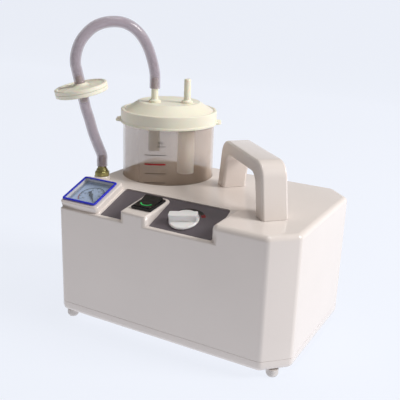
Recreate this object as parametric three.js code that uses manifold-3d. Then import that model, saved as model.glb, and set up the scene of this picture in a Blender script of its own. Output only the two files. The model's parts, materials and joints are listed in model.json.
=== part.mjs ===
// Portable medical suction pump: a moulded casing with a carrying handle, a collection jar standing
// in a well, a sloped control panel, a bacterial filter in the hose, and the piston pump inside.
// Millimetres, +Z up, +X to the operator's right, -Y towards the operator. The origin is on the
// floor, under the middle of the casing.
import * as THREE from 'three';
import { mergeVertices } from 'three/addons/utils/BufferGeometryUtils.js';
import Module from 'manifold-3d';

const wasm = await Module();
wasm.setup();

// ---- Driving dimensions ------------------------------------------------------------------------

const GAP = 0.3; // between pieces that touch
const SKIN = 0.02; // between two rounded faces of one piece that would otherwise coincide

// Casing
const BODY_LENGTH = 280;
const BODY_DEPTH = 196;
const BODY_TOP = 155;
const FOOT_HEIGHT = 9;
const WALL = 3;
const CHAMFER = 25; // legs of the two cut corners at the right
const CORNER_RADIUS = 8;
const TOP_ROUND = 6;
const SEAM_HEIGHT = 21;
const TRAY_ROUND = 6;
const LIP_ROUND = 2.5;
const SLOPE = THREE.MathUtils.degToRad(19.2);
const RECESS = 3; // depth of the panel's recess below the slope

const LEFT = -BODY_LENGTH / 2;
const RIGHT = BODY_LENGTH / 2;
const FRONT = -BODY_DEPTH / 2;
const BACK = BODY_DEPTH / 2;
const LIP_HEIGHT = BODY_TOP - 19.5; // top of the front wall under the sloped panel
const BLOCK_LEFT = RIGHT - 87; // left wall of the full-height block at the right

// Feet and screws
const FOOT_RADIUS = 6.5;
const FOOT_INSET = 10; // of the left feet from the end and side walls
const SCREW_RADIUS = 1.9;
const SCREW_HEAD_RADIUS = 3.6;
const SCREW_LENGTH = 14;
const BOSS_RADIUS = 5;

// Control panel
const PANEL = { left: LEFT + 55, right: BLOCK_LEFT - 3.5, front: 4, back: 57, thickness: 1.6 };
const SWITCH = { x: LEFT + 103.5, y: FRONT + 27.5, tilt: 6.7 };
const SWITCH_BOSS = {
  left: 20, right: 14.5, back: FRONT + 52, frontTop: BODY_TOP - 7.7, depth: 22, edge: 3, corner: 6,
};
const ROCKER = { width: 21.6, halfLength: 13.4, tilt: 7, travel: 14 };
const SWITCH_FRAME = { width: 25.5, length: 31, rim: 1.2, depth: 22 };
const KNOB = {
  x: LEFT + 149.8, v: 25.7, radius: 16.4, base: 2.5, grip: 6.9, gripWidth: 11, turn: 17,
};
const STEM_RADIUS = 3;

// Vacuum gauge, square, in a seat raised from the slope
const SEAT = { left: LEFT + 2, right: LEFT + 53, front: 3.5, back: 57, height: 7.5 };
const GAUGE = { x: LEFT + 25.8, v: 29.8, size: 45.5, rim: 1.7, depth: 18, stem: 4.5 };

// Collection jar, its well and its lid
const JAR_RADIUS = 55.2;
const JAR_X = LEFT + JAR_RADIUS + 5.8;
const JAR_Y = BACK - JAR_RADIUS - 5.5;
const JAR_WALL = 2.5;
const JAR_FLOOR = 3;
const JAR_TOP = BODY_TOP + 74.5;
const WELL_DEPTH = 58;
const WELL_CLEARANCE = 0.5;
const WELL_WALL = 1.6;
const GASKET_HEIGHT = 2;
const SKIRT_HEIGHT = 15;
const SKIRT_WALL = 2.2;
const LID_RISE = 10;
const LID_FLAT = 0.645; // the flat top's share of the lid's radius
const LID_SHELL = 3;
const TAB_REACH = 6;
const VIEW_TURN = THREE.MathUtils.degToRad(28.4); // the lid's tabs stand on this line
const VACUUM_PORT = { x: JAR_X - 0.163 * JAR_RADIUS, y: JAR_Y - 0.33 * JAR_RADIUS };
const PATIENT_PORT = { x: JAR_X + 0.438 * JAR_RADIUS, y: JAR_Y + 0.022 * JAR_RADIUS };
const SPIGOT = { radius: 4, bore: 2.3, length: 28, flange: 7, flangeHeight: 2.4, stem: 3.4 };
const INNER_TUBE = { radius: 7, bore: 5.2, length: 55 };
const FLOAT_GUIDE = { radius: 10.2, bore: 8.4, length: 82 };
const FLOAT = { radius: 7.6, length: 24, travel: 8 };

// Hose, filter and barb
const HOSE_RADIUS = 6.2;
const HOSE_BORE = 4.6;
const HOSE_OVERLAP = 12; // how far a hose's end covers the spigot in it
const BARB = { x: LEFT + 10.5, y: JAR_Y - 66.8, pad: 9.5, padTop: BODY_TOP + 4 };
const FITTING = { hex: 8, thread: 4, nipple: 4, top: BODY_TOP + 28 };
const FILTER = { radius: 30, along: 86.6, rise: 16.7, lean: 12, halfThickness: 4.6, port: 15 };
const FILTER_RIM = 4;
// Runs of the hoses: how far from the spigot towards the barb, and how far above the lid
const UPPER_LOOP = [[4.2, 50.2], [9, 63.2], [16, 75], [25, 84], [36, 89.6], [47.5, 91.2],
  [60, 89.7], [70.5, 85.5], [79.5, 78.2], [86.8, 68.7], [91.2, 57.2], [92.6, 46.2]];
const LOWER_RUN = [[78.4, -16.8], [73.6, -34.8], [68.2, -49.8]];

// Handle, a strap bent into an arch that stands across the casing
const HANDLE = { x: 52.6, y: -3.4, span: 138.4, rise: 57, width: 29, leg: 19, crown: 15 };
const HANDLE_TURN = -43.5; // degrees from +X
const HANDLE_LEAN = 11.7;
const HANDLE_EDGE = 3;

// Pump
const SHAFT_Z = 70;
const SHAFT_RADIUS = 4;
const THROW = 3.5;
const MOTOR = { left: 10, right: 87, radius: 30, wall: 4 };
const ROTOR = { left: 26, right: 70, radius: 15 };
const CRANKCASE = { left: 90, right: 122, half: 26, wall: 4 };
const CYLINDER = { x: 106, bore: 23, wall: 5, bottom: 101, top: 138 };
const PISTON = { clearance: 0.5, height: 5 };
const ECCENTRIC = { radius: 9, left: 100, right: 112 };
const ROD = { wall: 4.2, width: 10, depth: 8 };
const FAN = { left: -10, right: 4, radius: 31, hub: 10, blades: 6 };
const BRACKET = { left: -6, right: 126, half: 44, thickness: 2.5, bottom: 27 };
const BRACKET_TOP = BRACKET.bottom + BRACKET.thickness;
const MOUNT_RADIUS = 8;
const PUMP_HOSE = { radius: 5, bore: 4 };

// Power inlet and fuse, in the back wall
const INLET = { x: 80, z: 62, width: 27, height: 19.6, depth: 24, pocket: 16, wall: 2.2 };
const PIN = { width: 2, height: 4, pitch: 7, length: 26 };
const FUSE = { x: 43, z: 62, radius: 7, length: 38, bore: 4.4, mouth: 5.6, mouthDepth: 6 };
const VENT = { left: -112, count: 8, pitch: 8, width: 3, bottom: 34, top: 70 };

// ---- Sizes that follow from the driving dimensions ---------------------------------------------

const TOP_INSIDE = BODY_TOP - WALL;
const TRAY_FLOOR = FOOT_HEIGHT + WALL;
const WELL_RADIUS = JAR_RADIUS + WELL_CLEARANCE;
const WELL_FLOOR = BODY_TOP - WELL_DEPTH;
const JAR_BOTTOM = WELL_FLOOR + GAP;
const SKIRT_RADIUS = JAR_RADIUS + GAP + SKIRT_WALL;
const LID_UNDERSIDE = JAR_TOP + GASKET_HEIGHT + GAP;
const SHOULDER = LID_UNDERSIDE + LID_SHELL;
const LID_TOP = SHOULDER + LID_RISE;
const LID_FLAT_RADIUS = LID_FLAT * SKIRT_RADIUS;
const SPIGOT_TOP = LID_TOP + GAP + SPIGOT.length;
const HOSE_SPAN = Math.hypot(BARB.x - VACUUM_PORT.x, BARB.y - VACUUM_PORT.y);
const MAINS_BACK = BACK - GAP;

// ---- Geometry helpers --------------------------------------------------------------------------

/** Joins or cuts need a closed mesh with shared vertices: only positions are left in it. */
function solid(geometry) {
  const bare = geometry.clone();
  bare.deleteAttribute('normal');
  bare.deleteAttribute('uv');
  const merged = mergeVertices(bare, 1e-4);
  return new wasm.Manifold(new wasm.Mesh({
    numProp: 3,
    vertProperties: new Float32Array(merged.attributes.position.array),
    triVerts: new Uint32Array(merged.index.array),
  }));
}

function geometryOf(body) {
  const mesh = body.getMesh();
  const geometry = new THREE.BufferGeometry();
  geometry.setAttribute('position', new THREE.BufferAttribute(mesh.vertProperties, 3));
  geometry.setIndex(new THREE.BufferAttribute(mesh.triVerts, 1));
  geometry.computeVertexNormals();
  return geometry;
}

const joined = (first, ...others) => others.reduce((sum, other) => sum.add(other), first);
const cut = (first, ...others) => others.reduce((rest, other) => rest.subtract(other), first);

/** An outline with each [x, y, radius] corner turned into an arc. */
function filleted(corners, turnPerStep = Math.PI / 8) {
  const outline = [];
  corners.forEach(([x, y, radius], index) => {
    const corner = new THREE.Vector2(x, y);
    if (radius === 0) {
      outline.push(corner);
      return;
    }
    const [lastX, lastY] = corners.at(index - 1);
    const [nextX, nextY] = corners[(index + 1) % corners.length];
    const back = new THREE.Vector2(lastX, lastY).sub(corner).normalize();
    const ahead = new THREE.Vector2(nextX, nextY).sub(corner).normalize();
    const half = Math.acos(back.dot(ahead)) / 2;
    const centre = back.clone().add(ahead).normalize().multiplyScalar(radius / Math.sin(half));
    centre.add(corner);
    const start = back.clone().multiplyScalar(radius / Math.tan(half)).add(corner).sub(centre);
    const turn = Math.sign(-back.cross(ahead)) * (Math.PI - 2 * half);
    const steps = Math.max(1, Math.ceil(Math.abs(turn) / turnPerStep));
    for (let step = 0; step <= steps; step += 1) {
      const spoke = start.clone().rotateAround(new THREE.Vector2(), (turn * step) / steps);
      outline.push(spoke.add(centre));
    }
  });
  return outline;
}

function rectangle(left, front, right, back, radius = 0) {
  return filleted([[left, front, radius], [right, front, radius],
    [right, back, radius], [left, back, radius]]);
}

function circle(radius, sides = 32) {
  const turn = (2 * Math.PI) / sides;
  return Array.from({ length: sides }, (_, side) => new THREE.Vector2(
    radius * Math.cos(turn * side), radius * Math.sin(turn * side)));
}

function prism(outline, bottom, top, holes = []) {
  const shape = new THREE.Shape(outline);
  shape.holes = holes.map((hole) => new THREE.Path(hole));
  const geometry = new THREE.ExtrudeGeometry(shape, { depth: top - bottom, bevelEnabled: false });
  return geometry.translate(0, 0, bottom);
}

/** A prism whose edges at both ends are rounded. */
function softPrism(outline, bottom, top, radius, steps = 3) {
  const geometry = new THREE.ExtrudeGeometry(new THREE.Shape(outline), {
    depth: top - bottom - 2 * radius,
    bevelThickness: radius,
    bevelSize: radius,
    bevelOffset: -radius,
    bevelSegments: steps,
  });
  return geometry.translate(0, 0, bottom + radius);
}

/** A solid of revolution about +Z from a closed list of [radius, height] points. */
function turned(profile, sides = 32) {
  const points = profile.map(([radius, height]) => new THREE.Vector2(radius, height));
  if (THREE.ShapeUtils.area(points) < 0) points.reverse();
  const [first] = points;
  const last = points.at(-1);
  if (first.x > 0 || last.x > 0) points.push(first.clone());
  return new THREE.LatheGeometry(points, sides).rotateX(Math.PI / 2);
}

/** A round bar or, with a bore, a tube, from bottom to top about +Z. */
function bar(radius, bottom, top, { bore = 0, sides = 32 } = {}) {
  return prism(circle(radius, sides), bottom, top, bore ? [circle(bore, sides)] : []);
}

/** Turns a piece modelled about +Z so that it lies along +X. */
const alongX = (geometry) => geometry.rotateY(Math.PI / 2);
/** Turns a piece modelled about +Z so that its top faces +Y. */
const alongY = (geometry) => geometry.rotateX(-Math.PI / 2);
/** Turns a side view, drawn in x and y and extruded, so that it spans the casing's length. */
const acrossX = (geometry) => geometry.applyMatrix4(new THREE.Matrix4().makeBasis(
  new THREE.Vector3(0, 1, 0), new THREE.Vector3(0, 0, 1), new THREE.Vector3(1, 0, 0)));

function block(left, right, front, back, bottom, top) {
  const geometry = new THREE.BoxGeometry(right - left, back - front, top - bottom);
  return geometry.translate((left + right) / 2, (front + back) / 2, (bottom + top) / 2);
}

function piece(name, shape, [color, roughness, metalness = 0]) {
  const geometry = shape.isBufferGeometry ? shape : geometryOf(shape);
  const material = new THREE.MeshStandardMaterial({ color, roughness, metalness });
  const mesh = new THREE.Mesh(geometry, material);
  mesh.name = name;
  return mesh;
}

const FINISH = {
  casing: ['#eceae6', 0.3],
  panel: ['#4f4a50', 0.55],
  rubber: ['#2c2c2e', 0.85],
  paleRubber: ['#cfcac2', 0.7],
  steel: ['#b9bcc0', 0.35, 0.9],
  aluminium: ['#a9adb1', 0.45, 0.85],
  black: ['#141416', 0.4],
  knob: ['#f1f0ee', 0.35],
  blue: ['#1a24c8', 0.35],
  clear: ['#dfe9f2', 0.08],
  dial: ['#dfe6ec', 0.6],
  needle: ['#101012', 0.5],
  brass: ['#a89a4a', 0.35, 0.85],
  jar: ['#e3e1dc', 0.1],
  cream: ['#f2efdf', 0.4],
  greyTube: ['#b7babd', 0.35],
  whiteTube: ['#e9e9e6', 0.35],
  hose: ['#cfc6d2', 0.3],
  filter: ['#f1ecda', 0.45],
  membrane: ['#fbfbf9', 0.9],
  motor: ['#3a3f45', 0.5, 0.4],
  red: ['#9c2b22', 0.5],
};

// ---- Frames of the sloped panel and of the switch's boss ---------------------------------------

/** The slope's own frame: x along the casing, y up the slope from the front lip, z out of it. */
function slopeFrame() {
  const frame = new THREE.Group();
  frame.position.set(0, FRONT, LIP_HEIGHT);
  frame.rotation.x = SLOPE;
  frame.updateMatrix();
  return frame;
}

/** The boss's own frame: its top is the plane z = 0, with the rocker's middle at the origin. */
function switchFrame() {
  const frame = new THREE.Group();
  const tilt = THREE.MathUtils.degToRad(SWITCH.tilt);
  const rise = (SWITCH.y - FRONT) * Math.tan(tilt);
  frame.position.set(SWITCH.x, SWITCH.y, SWITCH_BOSS.frontTop + rise);
  frame.rotation.x = tilt;
  frame.updateMatrix();
  return frame;
}

const inSlope = (geometry) => solid(geometry.applyMatrix4(slopeFrame().matrix));
const inSwitch = (geometry) => solid(geometry.applyMatrix4(switchFrame().matrix));

// ---- Casing ------------------------------------------------------------------------------------

/** The casing's plan, moved inwards by the inset. */
function casingOutline(inset = 0) {
  const x = BODY_LENGTH / 2 - inset;
  const y = BODY_DEPTH / 2 - inset;
  const leg = CHAMFER - inset * (2 - Math.SQRT2);
  const radius = Math.max(CORNER_RADIUS - inset, 1);
  return filleted([[-x, -y, radius], [x - leg, -y, radius], [x, leg - y, radius],
    [x, y - leg, radius], [x - leg, y, radius], [-x, y, radius]]);
}

/** Where the slope, moved inwards by the inset, meets the top: its y. */
function creaseY(inset = 0) {
  const rise = BODY_TOP - inset - LIP_HEIGHT + inset / Math.cos(SLOPE);
  return FRONT + rise / Math.tan(SLOPE);
}

/** The part behind the slope, at full height. */
function rearBody(inset, bottom) {
  const round = Math.max(TOP_ROUND - inset, 1);
  const body = solid(softPrism(casingOutline(inset), bottom - 20, BODY_TOP - inset, round));
  const front = creaseY(inset);
  const keep = block(-BODY_LENGTH, BODY_LENGTH, front, BODY_DEPTH, bottom, BODY_TOP + 20);
  return body.intersect(solid(keep));
}

/** The block at the right of the slope, at full height up to the front wall. */
function rightBlock(inset, bottom) {
  const x = BODY_LENGTH / 2 - inset;
  const y = BODY_DEPTH / 2 - inset;
  const leg = CHAMFER - inset * (2 - Math.SQRT2);
  const radius = Math.max(CORNER_RADIUS - inset, 1);
  const left = BLOCK_LEFT + inset;
  const outline = filleted([[left, -y, radius], [x - leg, -y, radius], [x, leg - y, radius],
    [x, 0, 0], [left, 0, 0]]);
  const round = Math.max(TOP_ROUND - inset, 1);
  const body = solid(softPrism(outline, bottom - 20, BODY_TOP - inset, round));
  return body.intersect(solid(block(0, BODY_LENGTH, -BODY_DEPTH, -y / 4, bottom, BODY_TOP + 20)));
}

/** The low front under the slope, from its side view, its plan and its rounded left edge. */
function slopedFront(inset, bottom) {
  const x = BODY_LENGTH / 2 - inset;
  const radius = Math.max(CORNER_RADIUS - inset, 1);
  const round = Math.max(TOP_ROUND - inset, 1);
  const front = FRONT + inset;
  const back = FRONT / 8;
  const lip = LIP_HEIGHT + inset * (Math.tan(SLOPE) - 1 / Math.cos(SLOPE));
  const rise = (back - front) * Math.tan(SLOPE);
  const view = filleted([[front, bottom, 0], [back, bottom, 0], [back, lip + rise, 0],
    [front, lip, Math.max(LIP_ROUND - inset, 0.5)]]);
  const side = solid(acrossX(prism(view, -x, BLOCK_LEFT + TOP_ROUND + 2)));
  const plan = filleted([[-x, front, radius], [BODY_LENGTH, front, 0], [BODY_LENGTH, back, 0],
    [-x, back, 0]]);
  const column = solid(prism(plan, bottom, BODY_TOP - inset));
  const face = rectangle(-x, -BODY_TOP, BODY_LENGTH, BODY_DEPTH);
  return side.intersect(column).intersect(inSlope(softPrism(face, -2 * BODY_TOP, -inset, round)));
}

/** The raised seat of the gauge. */
function gaugeSeat(inset) {
  const outline = rectangle(SEAT.left + inset, SEAT.front + inset, SEAT.right - inset,
    SEAT.back - inset, Math.max(4 - inset, 2));
  return inSlope(softPrism(outline, -RECESS - 3 * WALL, SEAT.height - inset, 1.5));
}

/** The boss of the switch: its front is the front wall carried up, its top leans. */
function switchBoss(inset) {
  const { left, right, back, frontTop, depth, edge } = SWITCH_BOSS;
  const tilt = THREE.MathUtils.degToRad(SWITCH.tilt);
  const round = Math.max(edge - inset / 2, 1);
  const corner = Math.max(SWITCH_BOSS.corner - inset, 1);
  const front = FRONT + inset;
  const behind = back - inset;
  const top = frontTop + inset * (Math.tan(tilt) - 1 / Math.cos(tilt));
  const bottom = frontTop - depth;
  const view = filleted([[front, bottom, 0], [behind, bottom, 0],
    [behind, top + (behind - front) * Math.tan(tilt), 0], [front, top, round]]);
  const side = solid(acrossX(prism(view, SWITCH.x - 2 * left, SWITCH.x + 2 * right)));
  const plan = rectangle(SWITCH.x - left + inset, front, SWITCH.x + right - inset, behind, corner);
  const face = rectangle(inset - left, 2 * (FRONT - SWITCH.y), right - inset,
    back - SWITCH.y - inset, corner);
  return side.intersect(solid(prism(plan, bottom, BODY_TOP + WALL)))
    .intersect(inSwitch(softPrism(face, -BODY_TOP, -inset - SKIN, round)));
}

/** The casing's main solid, without its seat and boss, moved inwards by the inset. */
function casingBody(inset, bottom) {
  return joined(rearBody(inset, bottom), rightBlock(inset, bottom), slopedFront(inset, bottom));
}

function panelOutline(clearance) {
  const left = PANEL.left + clearance;
  const front = PANEL.front + clearance;
  const back = PANEL.back - clearance;
  return filleted([[left, front, 1], [BLOCK_LEFT - clearance, front, 1],
    [PANEL.right - clearance, back, 4], [left, back, 4]]);
}

/** The recess of the panel leaves the seat and the boss standing. */
function panelRecess() {
  const hollow = inSlope(prism(panelOutline(0), -RECESS, 2 * RECESS));
  return cut(hollow, gaugeSeat(0), switchBoss(0),
    solid(block(-BODY_LENGTH, BODY_LENGTH, creaseY(), BODY_DEPTH, 0, 2 * BODY_TOP)));
}

/** The space inside the casing goes round the panel's recess and into the seat and the boss. */
function casingHollow(bottom) {
  const pan = inSlope(prism(panelOutline(-WALL), -RECESS - WALL, BODY_TOP));
  return joined(cut(casingBody(WALL, bottom), pan), gaugeSeat(WALL), switchBoss(WALL));
}

function bossPlaces() {
  const x = BODY_LENGTH / 2;
  const y = BODY_DEPTH / 2;
  const edge = WALL + BOSS_RADIUS + 1;
  const chamfered = CHAMFER + edge / 2;
  return [
    ['front_left', SEAT.right + 12, -y + edge],
    ['front_right', x - chamfered, -y + edge],
    ['rear_left', -x + edge, y - edge],
    ['rear_right', x - chamfered, y - edge],
  ];
}

/** Columns that take the casing's screws. Their tops run into the casing's roof. */
function screwBosses() {
  const pan = inSlope(prism(panelOutline(-WALL), -RECESS - WALL / 2, BODY_TOP));
  const roof = cut(casingBody(WALL / 2, SEAM_HEIGHT), pan);
  const columns = bossPlaces().map(([, x, y]) => cut(
    solid(bar(BOSS_RADIUS, TRAY_FLOOR + GAP, BODY_TOP, { sides: 16 }).translate(x, y, 0)),
    solid(bar(SCREW_RADIUS + GAP, 0, TRAY_FLOOR + SCREW_LENGTH + 2, { sides: 12 })
      .translate(x, y, 0)),
  ));
  const below = solid(block(-BODY_LENGTH, BODY_LENGTH, -BODY_DEPTH, BODY_DEPTH, 0, SEAM_HEIGHT));
  return columns.map((column) => column.intersect(roof.add(below)));
}

function inletOpening() {
  const { x, z, width, height } = INLET;
  const half = width / 2 + GAP;
  return block(x - half, x + half, BODY_DEPTH / 2 - 3 * WALL, BODY_DEPTH, z - height / 2 - GAP,
    z + height / 2 + GAP);
}

function ventSlots() {
  return Array.from({ length: VENT.count }, (_, index) => {
    const left = VENT.left + index * VENT.pitch;
    return solid(block(left, left + VENT.width, 0, BODY_DEPTH, VENT.bottom, VENT.top));
  });
}

function upperCasing() {
  const bottom = SEAM_HEIGHT + GAP / 2;
  const pad = solid(softPrism(circle(BARB.pad, 24), TOP_INSIDE, BARB.padTop, 1)
    .translate(BARB.x, BARB.y, 0));
  const shell = cut(
    joined(casingBody(0, bottom), gaugeSeat(0), switchBoss(0), pad),
    casingHollow(bottom - 10),
    panelRecess(),
    solid(bar(WELL_RADIUS, TOP_INSIDE - 5, BODY_TOP + 5, { sides: 48 }).translate(JAR_X, JAR_Y, 0)),
    inSlope(prism(rectangle(...gaugeHole()), -BODY_TOP, BODY_TOP)),
    inSwitch(prism(rectangle(...switchHole()), -BODY_TOP, BODY_TOP)),
    inSlope(bar(STEM_RADIUS + 2, -4 * WALL, WALL, { sides: 20 }).translate(KNOB.x, KNOB.v, 0)),
    solid(bar(FITTING.thread + GAP, TOP_INSIDE - 5, BODY_TOP + 9, { sides: 20 })
      .translate(BARB.x, BARB.y, 0)),
    solid(inletOpening()),
    solid(alongY(bar(FUSE.radius + GAP, 0, BODY_DEPTH)).translate(FUSE.x, 0, FUSE.z)),
    ...ventSlots(),
  );
  return piece('upper_casing', joined(shell, ...screwBosses()), FINISH.casing);
}

function baseTray() {
  const tray = solid(softPrism(casingOutline(), FOOT_HEIGHT, 3 * SEAM_HEIGHT, TRAY_ROUND))
    .intersect(solid(block(-BODY_LENGTH, BODY_LENGTH, -BODY_DEPTH, BODY_DEPTH, 0,
      SEAM_HEIGHT - GAP / 2)));
  const holes = bossPlaces().map(([, x, y]) => joined(
    solid(bar(SCREW_RADIUS + GAP, 0, SEAM_HEIGHT, { sides: 12 }).translate(x, y, 0)),
    solid(bar(SCREW_HEAD_RADIUS + GAP, 0, FOOT_HEIGHT + WALL / 2, { sides: 16 })
      .translate(x, y, 0)),
  ));
  const hollow = solid(prism(casingOutline(WALL), TRAY_FLOOR, BODY_TOP));
  return piece('base_tray', cut(tray, hollow, ...holes), FINISH.casing);
}

/** The right feet stand just inside the cut corners. */
function footPlaces() {
  const x = BODY_LENGTH / 2;
  const y = BODY_DEPTH / 2;
  const cornered = CHAMFER / 2 + (FOOT_RADIUS + 0.6) / Math.SQRT2;
  return [
    ['front_left', FOOT_INSET - x, FOOT_INSET - y],
    ['front_right', x - cornered, cornered - y],
    ['rear_left', FOOT_INSET - x, y - FOOT_INSET],
    ['rear_right', x - cornered, y - cornered],
  ];
}

function feet() {
  const top = FOOT_HEIGHT - GAP;
  const profile = [[0, 0], [FOOT_RADIUS - 2, 0], [FOOT_RADIUS - 0.6, 1.6], [FOOT_RADIUS, top],
    [0, top]];
  return footPlaces().map(([place, x, y]) => piece(`foot_${place}`,
    turned(profile, 20).translate(x, y, 0), FINISH.paleRubber));
}

function casingScrews() {
  const seat = FOOT_HEIGHT + WALL / 2 - GAP;
  const profile = [[0, FOOT_HEIGHT], [SCREW_HEAD_RADIUS, FOOT_HEIGHT], [SCREW_HEAD_RADIUS, seat],
    [SCREW_RADIUS, seat], [SCREW_RADIUS, TRAY_FLOOR + SCREW_LENGTH], [0, TRAY_FLOOR + SCREW_LENGTH]];
  return bossPlaces().map(([place, x, y]) => piece(`casing_screw_${place}`,
    turned(profile, 12).translate(x, y, 0), FINISH.steel));
}

// ---- Controls ----------------------------------------------------------------------------------

function switchHole() {
  const halfWidth = SWITCH_FRAME.width / 2 - SWITCH_FRAME.rim + GAP;
  const halfLength = SWITCH_FRAME.length / 2 - SWITCH_FRAME.rim + GAP;
  return [-halfWidth, -halfLength, halfWidth, halfLength];
}

function controlPanel() {
  const bottom = -RECESS + GAP;
  const plate = solid(prism(panelOutline(GAP), bottom, bottom + PANEL.thickness));
  const toSlope = slopeFrame().matrix.clone().invert();
  const standing = joined(inverseOf(gaugeSeat(-GAP), toSlope),
    inverseOf(switchBoss(-GAP), toSlope));
  const behind = block(-BODY_LENGTH, BODY_LENGTH, creaseY() - GAP, BODY_DEPTH, 0, 2 * BODY_TOP);
  return piece('control_panel', cut(plate, standing, solid(behind.applyMatrix4(toSlope)),
    solid(bar(STEM_RADIUS + 2, bottom - 1, 1, { sides: 20 }).translate(KNOB.x, KNOB.v, 0))),
  FINISH.panel);
}

/** A solid of the casing, moved into another frame. */
function inverseOf(body, matrix) {
  return solid(geometryOf(body).applyMatrix4(matrix));
}

function switchBody() {
  const { width, length, rim, depth } = SWITCH_FRAME;
  const flange = softPrism(rectangle(-width / 2, -length / 2, width / 2, length / 2, 1.5),
    GAP, GAP + 2 * rim, 0.6, 2);
  const [left, front, right, back] = switchHole();
  const body = block(left + GAP, right - GAP, front + GAP, back - GAP, -depth, 2 * GAP);
  const halfWidth = ROCKER.width / 2 + GAP;
  const halfLength = ROCKER.halfLength + GAP;
  const pocket = block(-halfWidth, halfWidth, -halfLength, halfLength, -depth / 2, depth);
  const terminals = [-6, 6].map((y) => solid(
    block(-0.5, 0.5, y - 3, y + 3, -depth - 8, -depth + 1)));
  return piece('switch_body', cut(joined(solid(flange), solid(body), ...terminals),
    solid(pocket)), FINISH.black);
}

/** The rocker, in the frame of its pivot, pressed down at the front. */
function switchRocker() {
  const radius = ROCKER.halfLength;
  const arc = (from, to) => [0, 0.5, 1].map((share) => {
    const angle = THREE.MathUtils.degToRad(from + (to - from) * share);
    return [radius * Math.cos(angle), radius * Math.sin(angle)];
  });
  const side = [...arc(-24, 22), [0, 3.4], ...arc(158, 204)];
  const profile = side.map(([y, z]) => new THREE.Vector2(y, z));
  const geometry = acrossX(prism(profile, -ROCKER.width / 2, ROCKER.width / 2));
  return piece('switch_rocker', geometry, FINISH.black);
}

function switchGroup() {
  const group = switchFrame();
  const rocker = switchRocker();
  rocker.rotation.x = THREE.MathUtils.degToRad(ROCKER.tilt);
  group.add(switchBody(), rocker);
  return group;
}

function regulatorKnob() {
  const bottom = -RECESS + 2 * GAP + PANEL.thickness;
  const skirt = softPrism(circle(KNOB.radius, 32), bottom, bottom + KNOB.base, 0.9, 2);
  const half = KNOB.gripWidth / 2;
  const across = softPrism(rectangle(-KNOB.radius, -half, KNOB.radius, half, 2.5), bottom + 0.5,
    bottom + KNOB.base + KNOB.grip, 1.6);
  const grip = solid(across).intersect(solid(bar(KNOB.radius - 0.3, bottom, bottom + 40)));
  const socket = bar(STEM_RADIUS + GAP, bottom - 1, bottom + KNOB.base, { sides: 16 });
  return piece('regulator_knob', cut(solid(skirt).add(grip), solid(socket)), FINISH.knob);
}

function regulatorStem() {
  const top = -RECESS + PANEL.thickness + KNOB.base;
  return piece('regulator_stem', bar(STEM_RADIUS, -22, top, { sides: 16 }), FINISH.steel);
}

function regulatorValve() {
  const top = -RECESS - WALL - GAP;
  const body = joined(solid(bar(11, top - 8, top, { sides: 24 })),
    solid(block(-10, 10, -9, 9, top - 30, top - 6)));
  const nipple = alongX(bar(3.5, 8, 20, { sides: 12 })).translate(0, 0, top - 22);
  const stemHole = bar(STEM_RADIUS + GAP, -24, top + 1, { sides: 16 });
  return piece('regulator_valve', cut(joined(body, solid(nipple)), solid(stemHole)), FINISH.brass);
}

function regulatorGroup() {
  const group = slopeFrame();
  const centre = new THREE.Group();
  centre.position.set(KNOB.x, KNOB.v, 0);
  const knob = regulatorKnob();
  knob.rotation.z = THREE.MathUtils.degToRad(KNOB.turn);
  centre.add(knob, regulatorStem(), regulatorValve());
  group.add(centre);
  return group;
}

// ---- Vacuum gauge ------------------------------------------------------------------------------

function gaugeHole() {
  const half = GAUGE.size / 2 - GAUGE.rim + GAP;
  return [GAUGE.x - half, GAUGE.v - half, GAUGE.x + half, GAUGE.v + half];
}

function square(half, bottom, top, opening = 0) {
  const hole = opening ? [rectangle(-opening, -opening, opening, opening)] : [];
  return prism(rectangle(-half, -half, half, half), bottom, top, hole);
}

function gaugePieces() {
  const inner = GAUGE.size / 2 - GAUGE.rim;
  const rimBottom = SEAT.height + GAP;
  const rimTop = rimBottom + 1.6;
  const caseTop = 4.1;
  const dialBottom = 1;
  const caseSolid = joined(solid(square(inner, -GAUGE.depth, caseTop)),
    solid(bar(GAUGE.stem, -GAUGE.depth - 12, -GAUGE.depth + 1, { sides: 12 })));
  const pocket = solid(square(inner - 1, dialBottom - GAP, caseTop + 1));
  const pinHole = solid(bar(1, -4, dialBottom, { sides: 12 }));
  const tip = 13.5;
  const tail = 6;
  const pointer = [[-tail, -1.3, 0], [0, -1.1, 0], [tip, -0.3, 0], [tip, 0.3, 0], [0, 1.1, 0],
    [-tail, 1.3, 0]];
  const needle = joined(
    solid(prism(filleted(pointer), dialBottom + 1.5, dialBottom + 2)),
    solid(bar(2.2, dialBottom + 1.3, dialBottom + 2.6, { sides: 20 })),
    solid(bar(0.7, -3, dialBottom + 2, { sides: 10 })),
  );
  const needleMesh = piece('gauge_needle', needle, FINISH.needle);
  needleMesh.rotation.z = THREE.MathUtils.degToRad(-45);
  return [
    piece('gauge_case', cut(caseSolid, pocket, pinHole), FINISH.aluminium),
    piece('gauge_dial', prism(rectangle(-inner + 1.3, -inner + 1.3, inner - 1.3, inner - 1.3),
      dialBottom, dialBottom + 0.8, [circle(1, 12)]), FINISH.dial),
    needleMesh,
    piece('gauge_lens', square(inner - GAP, caseTop + GAP, rimTop - 0.2), FINISH.clear),
    piece('gauge_frame', square(GAUGE.size / 2, rimBottom, rimTop, inner), FINISH.blue),
  ];
}

function gaugeGroup() {
  const group = slopeFrame();
  const centre = new THREE.Group();
  centre.position.set(GAUGE.x, GAUGE.v, 0);
  centre.add(...gaugePieces());
  group.add(centre);
  return group;
}

// ---- Collection jar ----------------------------------------------------------------------------

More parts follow.
